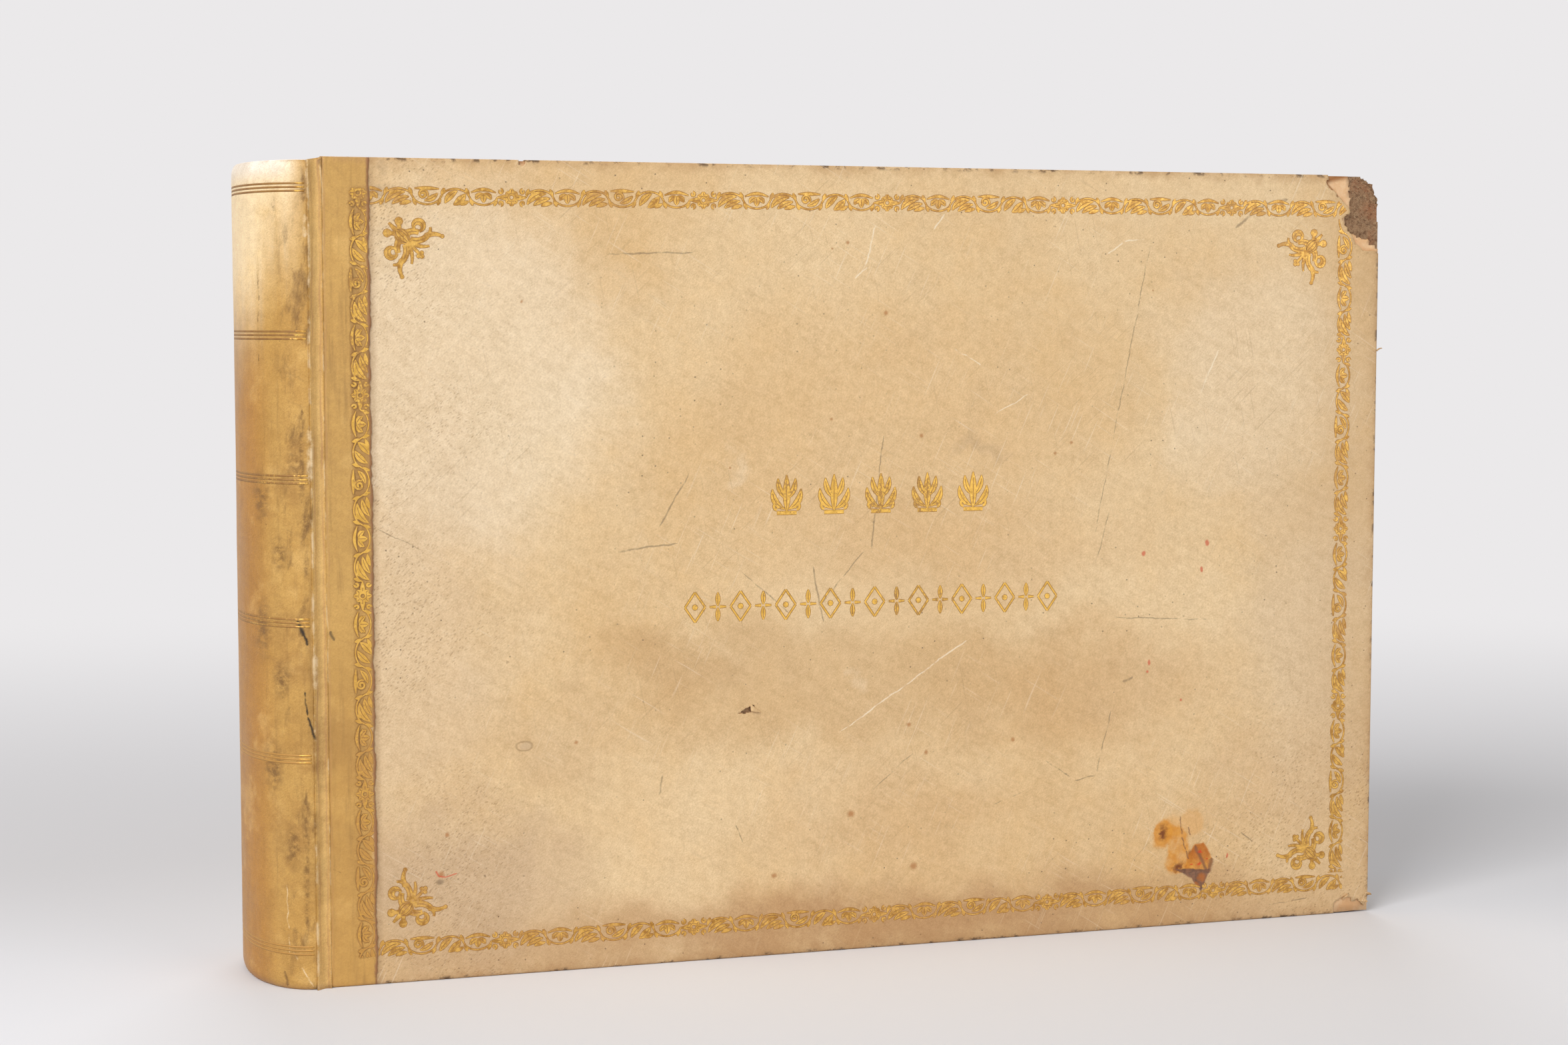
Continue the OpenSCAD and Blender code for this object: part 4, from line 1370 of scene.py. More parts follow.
def lap_skin():
    """Lap of the spine vellum on a board, from the joint to its worn edge."""
    bm = upright_grid(joint_x, lap_x, edge_round, head_z - edge_round, lap_cell)
    for v in bm.verts:
        share = (v.co.x - joint_x) / (lap_x - joint_x)
        v.co.x += share ** 3 * (lap_edge(v.co.z) - lap_x)
        lip = lap_lip * limited((share - 0.7) / 0.2)
        lip += 0.10 * MM * share * ripple(v.co.x, v.co.z, 160, 3)
        calm = limited(edge_room(v.co.x, v.co.z) / (8 * MM))
        ridge = 0.2 * MM * math.exp(-(share * (lap_x - joint_x) / (0.6 * MM)) ** 2)
        v.co.y = front_y - calm * (lip + ridge + 0.1 * MM) - calm * cockle(v.co.x, v.co.z)
    wrap_over_edges(bm, wrap_depth, joint_x - 1 * MM)
    for low_z, high_z in ((0.7 * MM, cheek_h), (head_z - cheek_h, head_z - 0.7 * MM)):
        cheek = upright_grid(front_y + 0.7 * MM, front_y + wrap_depth - 0.5 * MM, low_z, high_z, 1 * MM)
        for v in cheek.verts:
            puff = 0.12 * MM * ripple(v.co.x, v.co.z, 400, 1)
            v.co = (joint_x - 0.25 * MM + puff, v.co.x, v.co.z)
        bmesh.ops.reverse_faces(cheek, faces=cheek.faces)
        join_copy(bm, cheek)
        cheek.free()
    return bm


for side, turn in side_turns.items():
    body = f"{side}_cover"
    strip = make_piece(f"spine_joint_{side}", turn(joint_strip()), spine_finish)
    thicken(strip, spine_skin_t)
    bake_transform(strip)
    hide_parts(f"{side}_joint")
    lap = make_piece(f"spine_lap_{side}", turn(lap_skin()), lap_finish)
    thicken(lap, lap_t)
    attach(lap, body)
    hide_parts(f"{side}_lap")

# Gilt tooling: gold leaf pressed into the vellum with warm brass tools. A roll with a scrolling
# vine makes the border, corner tools fill the corners and fillets cross the spine.
gold_bright = tone(232, 184, 92)
gold_deep = tone(172, 122, 52)
gold_gleam = tone(248, 198, 86)
gold_painted_glint = tone(252, 212, 116)
gold_tail = tone(206, 154, 72)
gold_tail_ground = tone(186, 136, 66)
gold_t = 0.02 * MM
gold_lift = 0.05 * MM
rim_lift = 0.02 * MM
tool_rim = 0.5
roll_period = 84.25
roll_cell = roll_period / 7
right_run_x = fore_x - 18 * MM
top_run_z = head_z - 16 * MM
bottom_run_z = 15.4 * MM
roll_half = 3.7


def gold_material(name, ground, wear, gleam=0.0):
    """Gold leaf over vellum: wear is how much of it has gone, gleam how much of it shines bright."""
    material, shader, place = start_material(name, 0.36, 0.5)
    axes = shader.axes(place)
    on_lap = shader.fall(axes["X"], lap_x, lap_x + 4 * MM)
    # The leaf's tone varies partly of itself and partly as painted light and shade of the tooled relief
    leaf_tone_and_relief_shade = shader.rise(shader.noise(place, 320, 5, 0.68), 0.36, 0.64)
    gold = shader.mix(leaf_tone_and_relief_shade, gold_deep, gold_bright)
    gold = shader.mix(gleam, gold, gold_gleam)
    # Painted glints of light on the leaf
    painted_glints = shader.rise(shader.noise(place, 620, 3, 0.6), 0.58, 0.68, 0.5)
    gold = shader.mix(painted_glints, gold, gold_painted_glint)
    tail = shader.times(shader.fall(axes["Z"], 90 * MM, 190 * MM), on_lap)
    gold = shader.mix(shader.times(tail, 0.6), gold, gold_tail)
    ground = shader.mix(tail, ground, gold_tail_ground)
    crumbs = shader.noise(place, 900, 3, 0.7)
    patches = shader.noise(place, 34, 3, 0.6)
    gone = shader.plus(shader.times(crumbs, 0.7), shader.times(patches, 0.6))
    ends = shader.rise(shader.gap(axes["Z"], head_z * 0.55), 50 * MM, 190 * MM)
    gone = shader.plus(gone, shader.times(ends, on_lap, 0.16))
    sheltered = shader.times(
        shader.rise(axes["X"], back_x + 16 * MM, back_x + 23 * MM),
        shader.fall(axes["X"], back_x + 27 * MM, back_x + 28 * MM),
    )
    gone = shader.minus(gone, shader.times(sheltered, 0.22))
    gone = shader.rise(gone, 1.02 - wear, 1.16 - wear, 0.8)
    shader.dress(shader.mix(gone, gold, ground), crumbs, 0.4, 0.2 * MM)
    shader.feed(shader.surface["Metallic"], shader.times(shader.minus(1.0, gone), 0.55))
    shader.feed(shader.surface["Roughness"], shader.plus(shader.times(gone, 0.2), 0.36))
    return material


side_gold = gold_material("gold_on_side", tone(198, 150, 86), 0.36)
fresh_gold = gold_material("gold_kept_bright", tone(158, 113, 60), 0.36, 0.5)
spine_gold = gold_material("gold_on_spine", tone(140, 96, 46), 0.55)

# Brown rim round each gold stroke: partly vellum browned by the hot tool, partly painted shade at the edge of
# the impression
pressed_rim_and_shade, shader, place = start_material("tool_rim", 0.6, 0.25)
scorch_and_shade = shader.rise(shader.noise(place, 500, 4, 0.65), 0.3, 0.7)
shader.dress(shader.mix(scorch_and_shade, tone(146, 102, 52), tone(182, 136, 80)))


def straight(x0, y0, x1, y1, bow=0.0):
    """Path between two points, bowed sideways at its middle."""
    def path(t):
        arch = 4 * bow * t * (1 - t)
        length = math.hypot(x1 - x0, y1 - y0)
        return Vector((
            x0 + (x1 - x0) * t - arch * (y1 - y0) / length,
            y0 + (y1 - y0) * t + arch * (x1 - x0) / length,
        ))
    return path


def curl(x, y, first, last, start, sweep):
    """Path round a centre from one radius to another, angles in degrees."""
    def path(t):
        angle = math.radians(start + sweep * t)
        radius = first + (last - first) * t
        return Vector((x + radius * math.cos(angle), y + radius * math.sin(angle)))
    return path


def even(width):
    return lambda t: width


def swelling(width, least=0.2):
    return lambda t: max(least, width * math.sin(math.pi * limited(t)) ** 0.8)


def tapering(first, last):
    return lambda t: first + (last - first) * t


def ribbon(bm, path, width, steps, lift, material_index):
    """Lays a flat ribbon along a path in mm, in the plane of a cover."""
    run = None
    for i in range(steps + 1):
        t = i / steps
        ahead = path(t + 0.02) - path(t - 0.02)
        side = Vector((-ahead.y, ahead.x)).normalized() * width(t) / 2
        ends = [path(t) + side, path(t) - side]
        if run is None:
            first, second = [bm.verts.new((p.x * MM, -lift, p.y * MM)) for p in ends]
            run = bm.edges.new((first, second))
            continue
        behind = first.co.copy()
        run = drawn_out(bm, [run])[0]
        first, second = sorted(run.verts, key=lambda v: (v.co - behind).length)
        for v, p in zip((first, second), ends):
            v.co = (p.x * MM, -lift, p.y * MM)
        run.link_faces[0].material_index = material_index


def stroke(bm, path, width, steps=8):
    """Gold ribbon over the brown rim of its tool, each stroke a hair above the one before."""
    level = 0.002 * MM * (len(bm.faces) // 16 % 10)
    ribbon(bm, path, lambda t: width(t) + tool_rim, steps, rim_lift + level, 1)
    ribbon(bm, path, width, steps, gold_lift + level, 0)
    if width(0.5) > 1.7:
        vein = even(0.3)
        ribbon(bm, lambda t: path(0.14 + 0.7 * t), vein, 4, gold_lift + level + 0.02 * MM, 1)


def knob(bm, x, y, radius):
    """Round dot of gold."""
    stroke(bm, curl(x, y, radius / 2, radius / 2, 0, 360), even(radius), 8)


def blade(bm, x0, y0, x1, y1, wide, bow=0.0):
    """Pointed leaf between two points."""
    stroke(bm, straight(x0, y0, x1, y1, bow), swelling(wide), 7)


def vine(bm, x, way):
    """One round wave of the stem over a cell, with small leaves in the corners outside it."""
    def stem(t):
        height = 3.3 * max(0.0, math.sin(math.pi * limited(t))) ** 0.55
        return Vector((x + roll_cell * (t - 0.5), way * height))
    stroke(bm, stem, even(0.5), 14)
    for side in (-1, 1):
        blade(bm, x + side * 6.0, way * 0.9, x + side * 4.7, way * 3.7, 1.5, 0.3 * side * way)


def edge_leaf(bm, x, way, wide):
    """Curved leaf that lies along the open side of a wave."""
    def path(t):
        return Vector((x + 5.4 * (1 - 2 * t), -way * (1.9 + 1.3 * math.sin(math.pi * t))))
    stroke(bm, path, swelling(wide), 10)


def roundel(bm, x, way):
    """Wave of the stem with a three lobed leaf in it."""
    vine(bm, x, way)
    edge_leaf(bm, x, way, 1.2)
    blade(bm, x, -way * 1.7, x, way * 2.3, 2.5)
    for side in (-1, 1):
        blade(bm, x + 0.3 * side, -way * 1.5, x + 3.3 * side, way * 1.0, 2.0, -0.5 * side * way)
        blade(bm, x + 0.6 * side, -way * 1.6, x + 3.6 * side, -way * 0.7, 1.3, 0.2 * side * way)


def acanthus(bm, x, way):
    """Fat leaf that sweeps from the open side to the stem, cut into lobes."""
    vine(bm, x, way)
    blade(bm, x - 5.4, -way * 2.9, x + 2.9, way * 1.8, 2.9, 1.5 * way)
    blade(bm, x - 2.6, -way * 3.3, x + 4.6, -way * 0.2, 2.3, 0.7 * way)
    blade(bm, x + 0.6, -way * 3.4, x + 5.6, -way * 2.2, 1.7, 0.3 * way)
    stroke(bm, curl(x - 2.4, way * 1.5, 1.1, 0.4, 200 * way, -300 * way), even(0.6), 8)


def scroll(bm, x, way):
    """Spiral of the stem with a leaf over it."""
    vine(bm, x, way)
    stroke(bm, curl(x - 1.6, -way * 0.9, 2.2, 0.4, 30 * way, -560 * way), tapering(0.6, 1.0), 18)
    blade(bm, x - 1.0, way * 1.7, x + 4.6, -way * 1.4, 2.1, 0.6 * way)
    blade(bm, x - 5.2, -way * 3.3, x + 5.2, -way * 3.2, 1.3, -0.2 * way)


def bud(bm, x, way):
    """Closed bud that leans across the wave, with a slot beside it."""
    vine(bm, x, way)
    blade(bm, x - 4.4, -way * 2.8, x + 1.0, way * 2.5, 2.7, 0.7 * way)
    blade(bm, x - 0.8, -way * 3.4, x + 4.4, way * 1.3, 3.0, -0.5 * way)
    blade(bm, x + 2.2, -way * 3.4, x + 5.8, -way * 1.8, 1.5)


def rosette(bm, x):
    """Pierced flower with eight petals and a pointed leaf at each side."""
    stroke(bm, curl(x, 0, 1.85, 1.85, 0, 360), even(1.8), 14)
    for i in range(8):
        angle = math.radians(45 * i)
        far = Vector((math.cos(angle), math.sin(angle)))
        reach = 3.7 if i % 2 == 0 else 3.3
        petal = straight(x + 1.7 * far.x, 1.7 * far.y, x + reach * far.x, reach * far.y)
        stroke(bm, petal, swelling(2.0, 0.7), 5)
    for way in (-1, 1):
        stroke(bm, straight(x + way * 3.0, 0, x + way * 6.1, 0), tapering(2.2, 0.4), 4)
        for up in (-1, 1):
            stroke(bm, curl(x + way * 4.7, up * 2.5, 1.0, 0.4, 90 * up, 320 * way * up), even(0.85), 8)


roll = bmesh.new()
rosette(roll, 0)
for i, motif in enumerate((acanthus, roundel, acanthus, scroll, bud, roundel)):
    motif(roll, roll_cell * (i + 1), 1 if i % 2 == 0 else -1)


def trim(bm, x, way):
    """Cuts off what lies past a place along x, towards plus or minus X."""
    geom = bm.verts[:] + bm.edges[:] + bm.faces[:]
    bmesh.ops.bisect_plane(bm, geom=geom, plane_co=(x, 0, 0), plane_no=(way, 0, 0), clear_outer=True)


def border_run(start, end, first_flower, turn):
    """One side of the border from start to end, rolled so that a flower lies at a given place."""
    bm = bmesh.new()
    length = (end - start).length
    offset = first_flower - roll_period * MM
    while offset < length + roll_period * MM:
        join_copy(bm, roll, Matrix.Translation((offset, 0, 0)))
        offset += roll_period * MM
    trim(bm, 0, -1)
    trim(bm, length, 1)
    spun = Matrix.Rotation(math.radians(turn), 3, "Y")
    bmesh.ops.rotate(bm, cent=(0, 0, 0), matrix=spun, verts=bm.verts)
    bmesh.ops.translate(bm, vec=start, verts=bm.verts)
    return bm


corner_tool = bmesh.new()
stroke(corner_tool, straight(0, 0.4, 0, 9.0), swelling(6.0, 1.4), 8)
stroke(corner_tool, straight(0, 8.4, 0, 12.6), tapering(1.9, 0.7), 4)
stroke(corner_tool, straight(0, 0.8, 0, -5.8), tapering(1.3, 1.0), 4)
knob(corner_tool, 0, -7.0, 0.9)
for way in (-1, 1):
    knob(corner_tool, 3.5 * way, 10.1, 1.7)
    knob(corner_tool, 1.0 * way, -5.9, 0.8)
    stroke(corner_tool, straight(1.2 * way, 7.4, 3.1 * way, 9.8), even(1.5), 3)
    stroke(corner_tool, straight(2.0 * way, 4.4, 6.2 * way, 0.9, 0.7 * way), tapering(2.6, 2.0), 6)
    hook = curl(7.8 * way, 2.9, 2.1, 2.0, -90 - 30 * way, 290 * way)
    stroke(corner_tool, hook, swelling(2.7, 1.0), 14)
    stroke(corner_tool, straight(1.4 * way, 1.4, 7.6 * way, -2.6, -1.1 * way), tapering(2.4, 2.2), 7)
    stroke(corner_tool, straight(7.2 * way, -2.2, 12.0 * way, -7.0, 0.9 * way), tapering(2.2, 1.0), 6)
    knob(corner_tool, 12.1 * way, -7.1, 0.8)
    stroke(corner_tool, straight(7.0 * way, -2.1, 11.2 * way, -0.9, -0.9 * way), tapering(1.8, 0.7), 6)
    stroke(corner_tool, straight(0.9 * way, 0.5, 5.4 * way, -6.2, -0.9 * way), tapering(2.0, 0.6), 7)
    for reach in (1.0, 2.0):
        vein = straight(0.6 * way, 1.6, 0.6 * way, 8.2, -reach * way)
        ribbon(corner_tool, vein, even(0.35), 6, gold_lift + 0.03 * MM, 1)


def lay_on_cover(bm, rise):
    """Sets flat gold work on the face of the front cover, over the skin's slow waves."""
    for v in bm.verts:
        lift = -v.co.y
        v.co.y = front_y - cockle(v.co.x, v.co.z) - lift - rise
    bmesh.ops.recalc_face_normals(bm, faces=bm.faces)
    if sum(f.normal.y for f in bm.faces) > 0:
        bmesh.ops.reverse_faces(bm, faces=bm.faces)
    return bm


lap_rise = 0.46 * MM
run_start_x = lap_x + 1 * MM
run_end_x = right_run_x + roll_half * MM
run_inset = 4.6 * MM
corner_back = 2.4 * MM
corner_places = [
    (joint_x + 35.0 * MM, 315.6 * MM, -45), (fore_x - 37.4 * MM, 315.0 * MM, 45),
    (joint_x + 33.6 * MM, 33.6 * MM, -135), (fore_x - 33.4 * MM, 31.8 * MM, 135),
]


def cover_tooling(worn):
    """Border runs on the side vellum and the four corner tools, lost where the skin is torn."""
    bm = bmesh.new()
    runs = [
        ((run_start_x, top_run_z), (run_end_x, top_run_z), 60 * MM, 0),
        ((run_start_x, bottom_run_z), (run_end_x, bottom_run_z), 54.8 * MM, 0),
        ((right_run_x, bottom_run_z + run_inset), (right_run_x, top_run_z - run_inset), 80 * MM, -90),
    ]
    for (x0, z0), (x1, z1), flower, turn in runs:
        run = border_run(Vector((x0, 0, z0)), Vector((x1, 0, z1)), flower, turn)
        join_copy(bm, run)
        run.free()
    for x, z, turn in corner_places:
        stand = Matrix.Rotation(math.radians(turn), 4, "Y") @ Matrix.Translation((0, 0, -corner_back))
        join_copy(bm, corner_tool, Matrix.Translation((x, 0, z)) @ stand)
    if worn:
        lost = [f for f in bm.faces if any(inside(v.co, head_tear) for v in f.verts)]
        bmesh.ops.delete(bm, geom=lost, context="FACES")
    return bm


def lap_tooling():
    """Border run on the lap of the spine vellum."""
    start = Vector((left_run_x, 0, bottom_run_z - 3 * MM))
    end = Vector((left_run_x, 0, top_run_z + 3 * MM))
    return border_run(start, end, 70 * MM, -90)


for side, turn in side_turns.items():
    body = f"{side}_cover"
    on_side = turn(lay_on_cover(cover_tooling(side == "front"), 0))
    on_lap = turn(lay_on_cover(lap_tooling(), lap_rise))
    for piece in (
        make_piece(f"gilt_border_{side}", on_side, side_gold, pressed_rim_and_shade, smooth=False),
        make_piece(f"gilt_lap_border_{side}", on_lap, fresh_gold, pressed_rim_and_shade, smooth=False),
    ):
        thicken(piece, gold_t)
        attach(piece, body)

# Two rows of small tools stand in the middle of the front cover: bold palmettes and a thin chain.
# Rows start at a place in mm from the joint line and keep to a height.
palmette_count = 5
palmette_first, palmette_pitch, palmette_z = 202, 22, 205.6
link_count = 9
link_first, link_pitch, link_z = 160, 20.8, 157
chain_end = 332
centre_tools = bmesh.new()
palmette = bmesh.new()
stroke(palmette, straight(-4.6, -8.0, 4.6, -8.0), even(1.5), 4)
blade(palmette, 0, -8.0, 0, 8.8, 3.2)
for way in (-1, 1):
    blade(palmette, 0.8 * way, -6.4, 6.6 * way, 2.6, 2.8, -1.8 * way)
    blade(palmette, 0.6 * way, -1.6, 4.0 * way, 7.2, 2.4, -1.0 * way)
    stroke(palmette, curl(4.6 * way, -5.0, 1.6, 0.6, -90, 340 * way), even(1.1), 10)
for i in range(palmette_count):
    spot = on_cover(palmette_first + palmette_pitch * i, palmette_z)
    join_copy(centre_tools, palmette, Matrix.Translation(spot))
chain = bmesh.new()
lozenge = [(-4.6, 0), (0, 6.6), (4.6, 0), (0, -6.6)]
for (x0, y0), (x1, y1) in edges_of(lozenge):
    stroke(chain, straight(x0, y0, x1, y1), even(0.7), 2)
knob(chain, 0, 0, 1.2)
for way in (-1, 1):
    blade(chain, 10.4, 0.4 * way, 10.4, 6.4 * way, 2.0)
    stroke(chain, straight(10.4 - 3.8 * way, 0, 10.4 - 0.9 * way, 0), tapering(0.5, 1.2), 3)
for i in range(link_count):
    join_copy(centre_tools, chain, Matrix.Translation(on_cover(link_first + link_pitch * i, link_z)))
trim(centre_tools, joint_x + chain_end * MM, 1)
centre = make_piece("gilt_centre_front", lay_on_cover(centre_tools, 0), fresh_gold, pressed_rim_and_shade, smooth=False)
thicken(centre, gold_t)
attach(centre, "front_cover")

# Three lines of each fillet, in their grooves round the spine, short of both shoulders
gilt_half = 0.42 * MM
short_of = 0.05
bm = bmesh.new()
for middle in fillet_heights:
    for line in (-1, 0, 1):
        z = middle * MM + line * fillet_pitch
        bm.edges.new([bm.verts.new((0, -1, z + off)) for off in (-gilt_half, gilt_half)])
swing_round(bm, short_of, math.pi - 2 * short_of, 96)
for v in bm.verts:
    angle = math.atan2(v.co.y, -v.co.x)
    groove = fillet_groove * 0.4 * shoulder_fade(angle, 0.1)
    flat = spine_point(angle, groove - spine_dent(angle, v.co.z) * shoulder_fade(angle, 0.35) - gold_lift)
    v.co.x, v.co.y = flat.x, flat.y
face_backwards(bm)
fillets = make_piece("gilt_spine_fillets", bm, spine_gold)
thicken(fillets, gold_t)
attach(fillets, "binding")

# Endpapers: cream paper pasted inside each board over the turned in vellum, with tape ends
# and a levelling card beneath it, and a free leaf beside it.
cream = tone(236, 224, 196)
cream_aged = tone(214, 192, 150)
skin_offset = tone(190, 148, 92)
flyleaf_t = 0.22 * MM
fold_t = 0.1 * MM
thread_pitch = 0.7 * MM
# This brown also serves for a painted shade line along the turned in skin's edge
fox_brown_and_shade = tone(164, 118, 70)


def paper_material(name, pale, aged, fleck_scale, offset=0.0):
    """Aged paper or card with flecks and fox marks; offset is how strongly the turned in skin shows, as
    browning and as a painted shade line at its edge.
    """
    material, shader, place = start_material(name, 0.8, 0.2)
    slow = shader.noise(place, 7, 5, 0.6)
    fine = shader.noise(place, fleck_scale, 3, 0.6)
    colour = shader.mix(shader.rise(slow, 0.3, 0.8, 0.6), pale, aged)
    colour = shader.mix(shader.rise(fine, 0.5, 0.8, 0.3), colour, aged)
    fox = shader.rise(shader.noise(place, 60, 4, 0.6), 0.7, 0.78, 0.6)
    colour = shader.mix(fox, colour, fox_brown_and_shade)
    axes = shader.axes(place)
    ends = shader.smaller(axes["Z"], shader.minus(head_z, axes["Z"]))
    ends = shader.smaller(ends, shader.minus(fore_x, axes["X"]))
    dust = shader.fall(shader.plus(ends, shader.times(slow, 8 * MM)), 7 * MM, 14 * MM, 0.5)
    colour = shader.mix(dust, colour, fox_brown_and_shade)
    freckles = shader.node("TexVoronoi", {"Vector": place, "Scale": 46.0}).outputs
    few = shader.rise(shader.node("SeparateColor", {0: freckles["Color"]}).outputs[0], 0.62, 0.95)
    few = shader.times(few, shader.rise(slow, 0.4, 0.62, 0.55))
    colour = shader.mix(shader.times(shader.fall(freckles["Distance"], 0.02, 0.11), few), colour, fox_brown_and_shade)
    if offset:
        shaken = shader.plus(ends, shader.times(shader.noise(place, 90, 4, 0.6), 5 * MM))
        browned = shader.fall(shaken, turn_in - 2 * MM, turn_in + 8 * MM, offset)
        colour = shader.mix(browned, colour, skin_offset)
        # Painted shade line along the edge of the turned in skin under the paper
        turn_in_shade_line = shader.gap(ends, turn_in)
        colour = shader.mix(shader.fall(turn_in_shade_line, 0.2 * MM, 0.9 * MM, offset), colour, fox_brown_and_shade)
    shader.dress(colour, fine, 0.3, 0.2 * MM)
    return material


endpaper = paper_material("endpaper", cream, cream_aged, 900, 0.42)
plain_card = paper_material("plain_card", tone(222, 204, 166), tone(190, 164, 120), 500)
leaf_card = paper_material("leaf_card", tone(230, 214, 178), tone(204, 178, 132), 600)

linen, shader, place = start_material("linen", 0.9, 0.1)
axes = shader.axes(place)
along = shader.plus(axes["X"], axes["Y"])
threads = [shader.times(run, 2 * math.pi / thread_pitch) for run in (axes["Z"], along)]
weave = shader.times(*[shader.maths("SINE", thread) for thread in threads])
slub = shader.noise(place, 300, 4, 0.6)
colour = shader.mix(shader.rise(slub, 0.3, 0.7), tone(196, 178, 140), tone(224, 208, 172))
colour = shader.mix(shader.rise(weave, -0.4, 0.8, 0.35), colour, tone(150, 130, 94))
shader.dress(colour, weave, 0.6, 0.2 * MM)

for side in ("front", "back"):
    dress_node(f"{side}_pastedown", endpaper)
    dress_node(f"{side}_infill", plain_card)
    dress_node(f"{side}_slips", linen)
    dress_node(f"{side}_hinge_cloth", linen)


for side, turn in side_turns.items():
    low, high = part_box("front_flyleaf")
    bm = upright_grid(low.x, high.x, low.z, high.z, 12 * MM)
    for v in bm.verts:
        uneven = 0.4 * MM * ripple(v.co.x, v.co.z, 60, 2)
        v.co.z += uneven if v.is_boundary else 0
        v.co.y = low.y + 0.02 * MM + 0.08 * MM * ripple(v.co.x, v.co.z, 6, 4)
    flyleaf = make_piece(f"free_endpaper_{side}", turn(bm), endpaper)
    thicken(flyleaf, flyleaf_t)
    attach(flyleaf, f"{side}_free_endpaper")
    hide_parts(f"{side}_flyleaf")

# The endpapers cross the inner joints: one strip folds down into the joint and up on to the
# board, the other carries the free leaf.
block_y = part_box("front_hinge_cloth")[0].y
paste_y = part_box("front_pastedown")[1].y
fly_low, fly_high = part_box("front_flyleaf")
fold = [
    (shoulder_x + 1.4 * MM, block_y - 0.1 * MM), (shoulder_x + 3.5 * MM, block_y - 5.6 * MM),
    (joint_x - 0.3 * MM, paste_y - 0.15 * MM), (joint_x + 6 * MM, paste_y + 0.12 * MM),
]
hang = [
    (joint_x - 2.4 * MM, block_y - 0.02 * MM), (fly_low.x - 1.0 * MM, block_y - 0.06 * MM),
    (fly_low.x + 2.5 * MM, fly_low.y + 0.2 * MM),
]


def bent_strip(route, low_z, high_z):
    """Upright paper strip that follows a route of (x, y) points."""
    bm = bmesh.new()
    rows = []
    for (x0, y0), (x1, y1) in zip(route, route[1:]):
        rows += [(x0 + (x1 - x0) * i / 6, y0 + (y1 - y0) * i / 6) for i in range(6)]
    rows.append(route[-1])
    chain = [bm.verts.new((x, y, low_z)) for x, y in rows]
    run = [bm.edges.new(pair) for pair in zip(chain, chain[1:])]
    for i in range(24):
        run = drawn_out(bm, run)
        for v in ends_of(run):
            v.co.z = low_z + (high_z - low_z) * (i + 1) / 24
    bmesh.ops.recalc_face_normals(bm, faces=bm.faces)
    return bm


for side, turn in side_turns.items():
    folded, hung = [turn(bent_strip(route, fly_low.z, fly_high.z)) for route in (fold, hang)]
    joint = make_piece(f"inner_joint_{side}", folded, endpaper, crease=70)
    thicken(joint, fold_t, 0.0)
    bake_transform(joint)
    carrier = make_piece(f"free_endpaper_joint_{side}", hung, endpaper)
    thicken(carrier, fold_t, 0.0)
    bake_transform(carrier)

# Sewn back: card guards and filling strips sewn on linen tapes, with linen cloth glued over the
# round of the back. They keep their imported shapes.
dress_node("guards", plain_card)
dress_node("guard_fills", leaf_card)
dress_node("spine_mull", linen)
dress_node("sewing_tapes", linen)

# Headband and tailband: silk wound over a cord along the back edge of the block, in two
# colours that take turns.
silk_pale = tone(232, 214, 172)
silk_brown = tone(138, 70, 48)
band_turns = 76
band_reach = math.radians(60)
band_thin = 0.95
rib_least = 0.82


def silk_material(name, colour):
    """Wound silk of one colour, with painted shade between its threads"""
    material, shader, place = start_material(name, 0.5, 0.4)
    thread = shader.noise(place, 2600, 3, 0.6)
    shade = shader.mix(shader.rise(thread, 0.35, 0.7, 0.5), colour, tone(110, 80, 50))
    shader.dress(shade, thread, 0.5, 0.2 * MM)
    return material


silk_finishes = [silk_material("silk_pale", silk_pale), silk_material("silk_brown", silk_brown)]
for name in ("headband", "tailband"):
    low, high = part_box(name)
    radius = (high.z - low.z) / 2 * band_thin
    middle_z = low.z + radius if name == "headband" else high.z - radius
    bm = bmesh.new()
    bmesh.ops.create_circle(bm, segments=12, radius=radius)
    stand = Matrix.Translation((0, -1, middle_z)) @ Matrix.Rotation(math.radians(90), 4, "Y")
    bmesh.ops.transform(bm, matrix=stand, verts=bm.verts)
    swing_round(bm, math.pi / 2 - band_reach, 2 * band_reach, band_turns * 3)
    back_off = spine_low.x - low.x
    for v in bm.verts:
        angle = math.atan2(v.co.y, -v.co.x)
        turn_share = (angle + band_reach) / (2 * band_reach) * band_turns
        rib = rib_least + (1 - rib_least) * abs(math.sin(math.pi * turn_share))
        depth = (1 - math.hypot(v.co.x, v.co.y)) * rib
        flat = spine_point(angle, depth + radius - back_off)
        v.co.x, v.co.y = flat.x, flat.y
        v.co.z = middle_z + (v.co.z - middle_z) * rib
    for face in bm.faces:
        spot = face.calc_center_median()
        angle = math.atan2(spot.y / spine_half, (shoulder_x - spot.x) / spine_depth)
        face.material_index = int((angle + band_reach) / (2 * band_reach) * band_turns / 2) % 2
    bmesh.ops.holes_fill(bm, edges=[e for e in bm.edges if e.is_boundary])
    bmesh.ops.recalc_face_normals(bm, faces=bm.faces)
    band = make_piece(f"silk_{name}", bm, *silk_finishes, crease=80)
    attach(band, "binding")
    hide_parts(name)

# Leaves: thick cards hung on the guards by linen, with a mounted print on each face.
# Their edges are trimmed by hand, so no two end quite alike.
leaf_count = 24
leaf_corner = 2.5 * MM
leaf_edge = 0.25 * MM
most_trim = 0.7
most_bow = 0.22
linen_t = 0.36 * MM
guard_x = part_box("guards")[1].x
print_half = (150 * MM, 110 * MM)
print_t = 0.18 * MM
print_sunk = 0.02 * MM
middle_x = (joint_x + fore_x) / 2

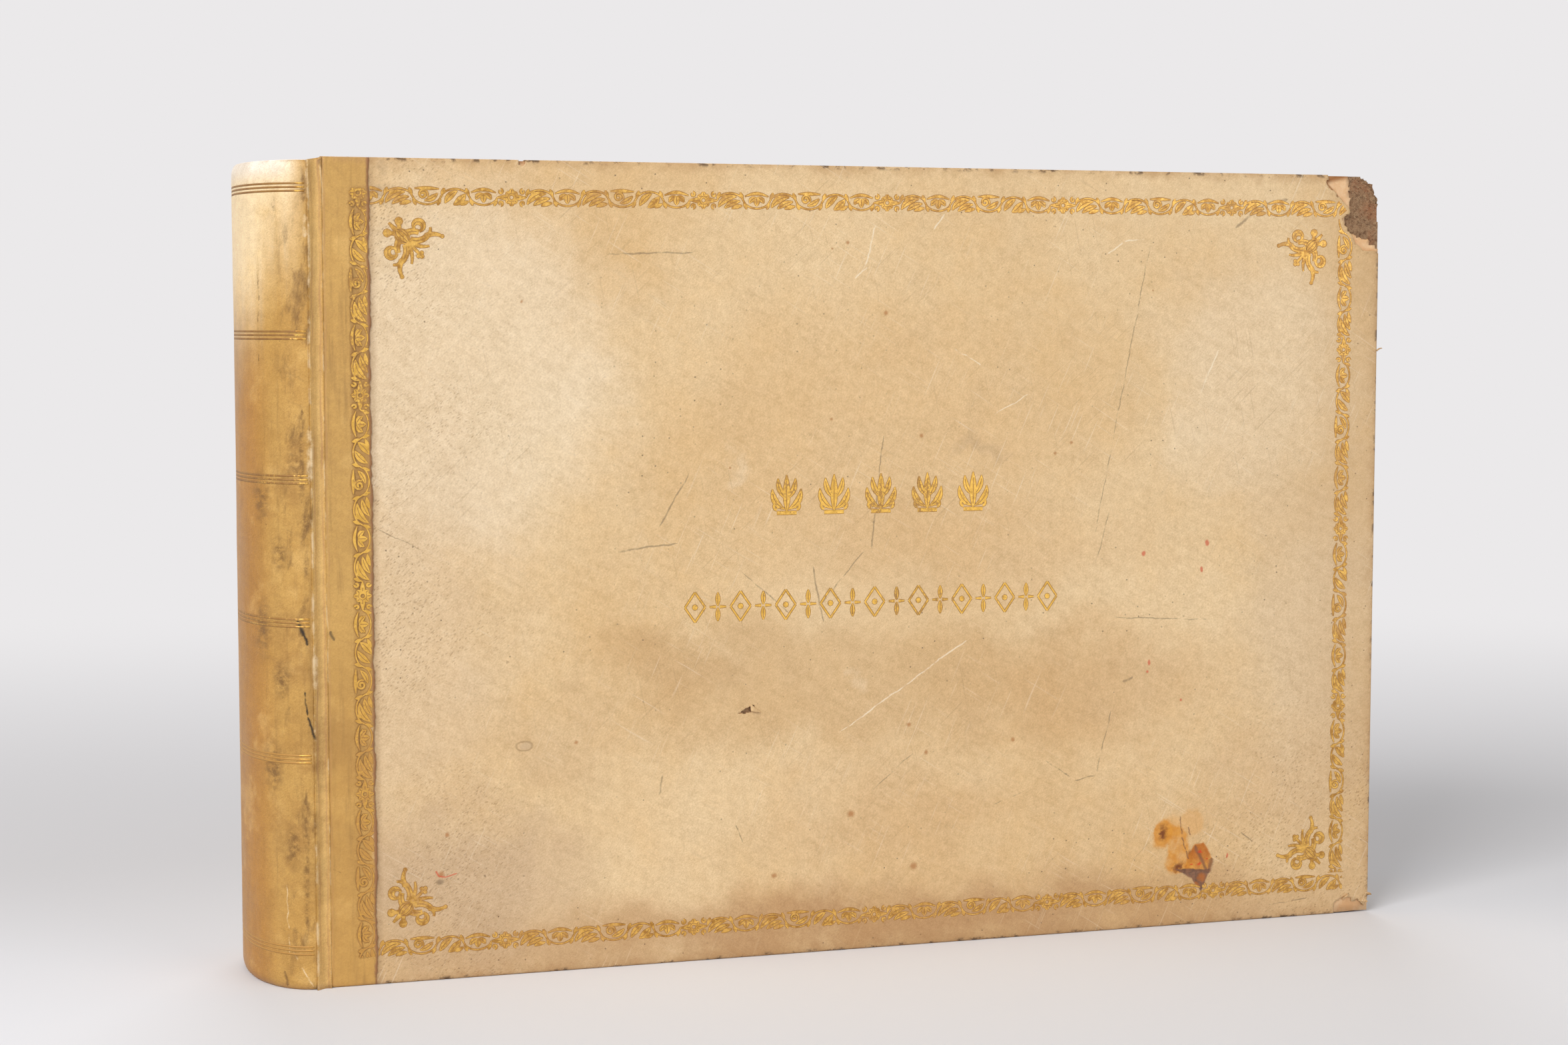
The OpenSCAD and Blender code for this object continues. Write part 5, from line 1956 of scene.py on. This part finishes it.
# Hills of the printed view: scale and height of their outline, level and tone
hills = [
    (5, 0.10, 0.125, tone(186, 152, 108)), (9, 0.08, 0.105, tone(150, 114, 76)),
    (16, 0.05, 0.085, tone(96, 66, 42)),
]

sepia, shader, place = start_material("albumen_print", 0.45, 0.4)
axes = shader.axes(place)
level = shader.joined(axes["X"], shader.times(axes["Y"], 40))
trees = shader.noise(place, 150, 5, 0.65)
colour = shader.mix(shader.rise(axes["Z"], 0.12, 0.3), tone(224, 200, 158), tone(196, 164, 118))
for scale, rise, base, shade in hills:
    ridge = shader.plus(shader.times(shader.noise(level, scale, 2, 0.4), rise), base)
    ridge = shader.plus(ridge, shader.times(trees, 0.006))
    ground = shader.fall(shader.minus(axes["Z"], ridge), -1 * MM, 1 * MM)
    lit = shader.mix(shader.rise(trees, 0.4, 0.7, 0.35), shade, tone(206, 176, 130))
    colour = shader.mix(ground, colour, lit)
edge_x = shader.gap(axes["X"], middle_x)
edge_z = shader.gap(axes["Z"], head_z / 2)
vignette = shader.larger(shader.rise(edge_x, 0.11, 0.15), shader.rise(edge_z, 0.08, 0.11))
shader.dress(shader.mix(shader.times(vignette, 0.6), colour, tone(222, 202, 162)))

draws = random.Random(24)
for k in range(1, leaf_count + 1):
    low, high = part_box(f"leaf_{k:02d}")
    y = (low.y + high.y) / 2
    half_t = (high.y - low.y) / 2
    trims = [draws.uniform(0, most_trim) * MM for _ in range(3)]
    bm = upright_grid(low.x, high.x - trims[0], low.z + trims[1], high.z - trims[2], 34 * MM)
    bm.normal_update()
    rim = [v for v in bm.verts if v.is_boundary]
    corners = [v for v in rim if len(v.link_edges) == 2 and v.co.x > 0]
    bevel = {"profile": 0.5, "material": -1}
    bmesh.ops.bevel(bm, geom=corners, offset=leaf_corner, affect="VERTICES", segments=4, **bevel)
    deepen(bm, 2 * half_t)
    sharp = [e for e in bm.edges if e.is_manifold and e.calc_face_angle() > 1.0]
    bmesh.ops.bevel(bm, geom=sharp, offset=leaf_edge, affect="EDGES", segments=2, **bevel)
    for near in (print_sunk - print_t, 2 * half_t - print_sunk):
        mount = upright_grid(
            middle_x - print_half[0], middle_x + print_half[0],
            head_z / 2 - print_half[1], head_z / 2 + print_half[1], 40 * MM,
        )
        deepen(mount, print_t)
        for face in mount.faces:
            face.material_index = 1
        join_copy(bm, mount, Matrix.Translation((0, near, 0)))
        mount.free()
    bow = draws.uniform(-most_bow, most_bow) * MM
    for v in bm.verts:
        share = (v.co.x - low.x) / (high.x - low.x)
        v.co.y += y - half_t + bow * math.sin(math.pi * share)
    leaf = make_piece(f"card_leaf_{k:02d}", bm, leaf_card, sepia)
    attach(leaf, f"card_leaf_{k:02d}")
    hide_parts(f"leaf_{k:02d}")

    strip = upright_grid(guard_x - 0.2 * MM, low.x + 0.6 * MM, low.z + 2 * MM, high.z - 2 * MM, 1)
    split_edges(strip, False, 9)
    bmesh.ops.translate(strip, vec=(0, y - linen_t / 2, 0), verts=strip.verts)
    hinge = make_piece(f"linen_hinge_{k:02d}", strip, linen)
    thicken(hinge, linen_t)
    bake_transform(hinge)
    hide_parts("leaf_linens")
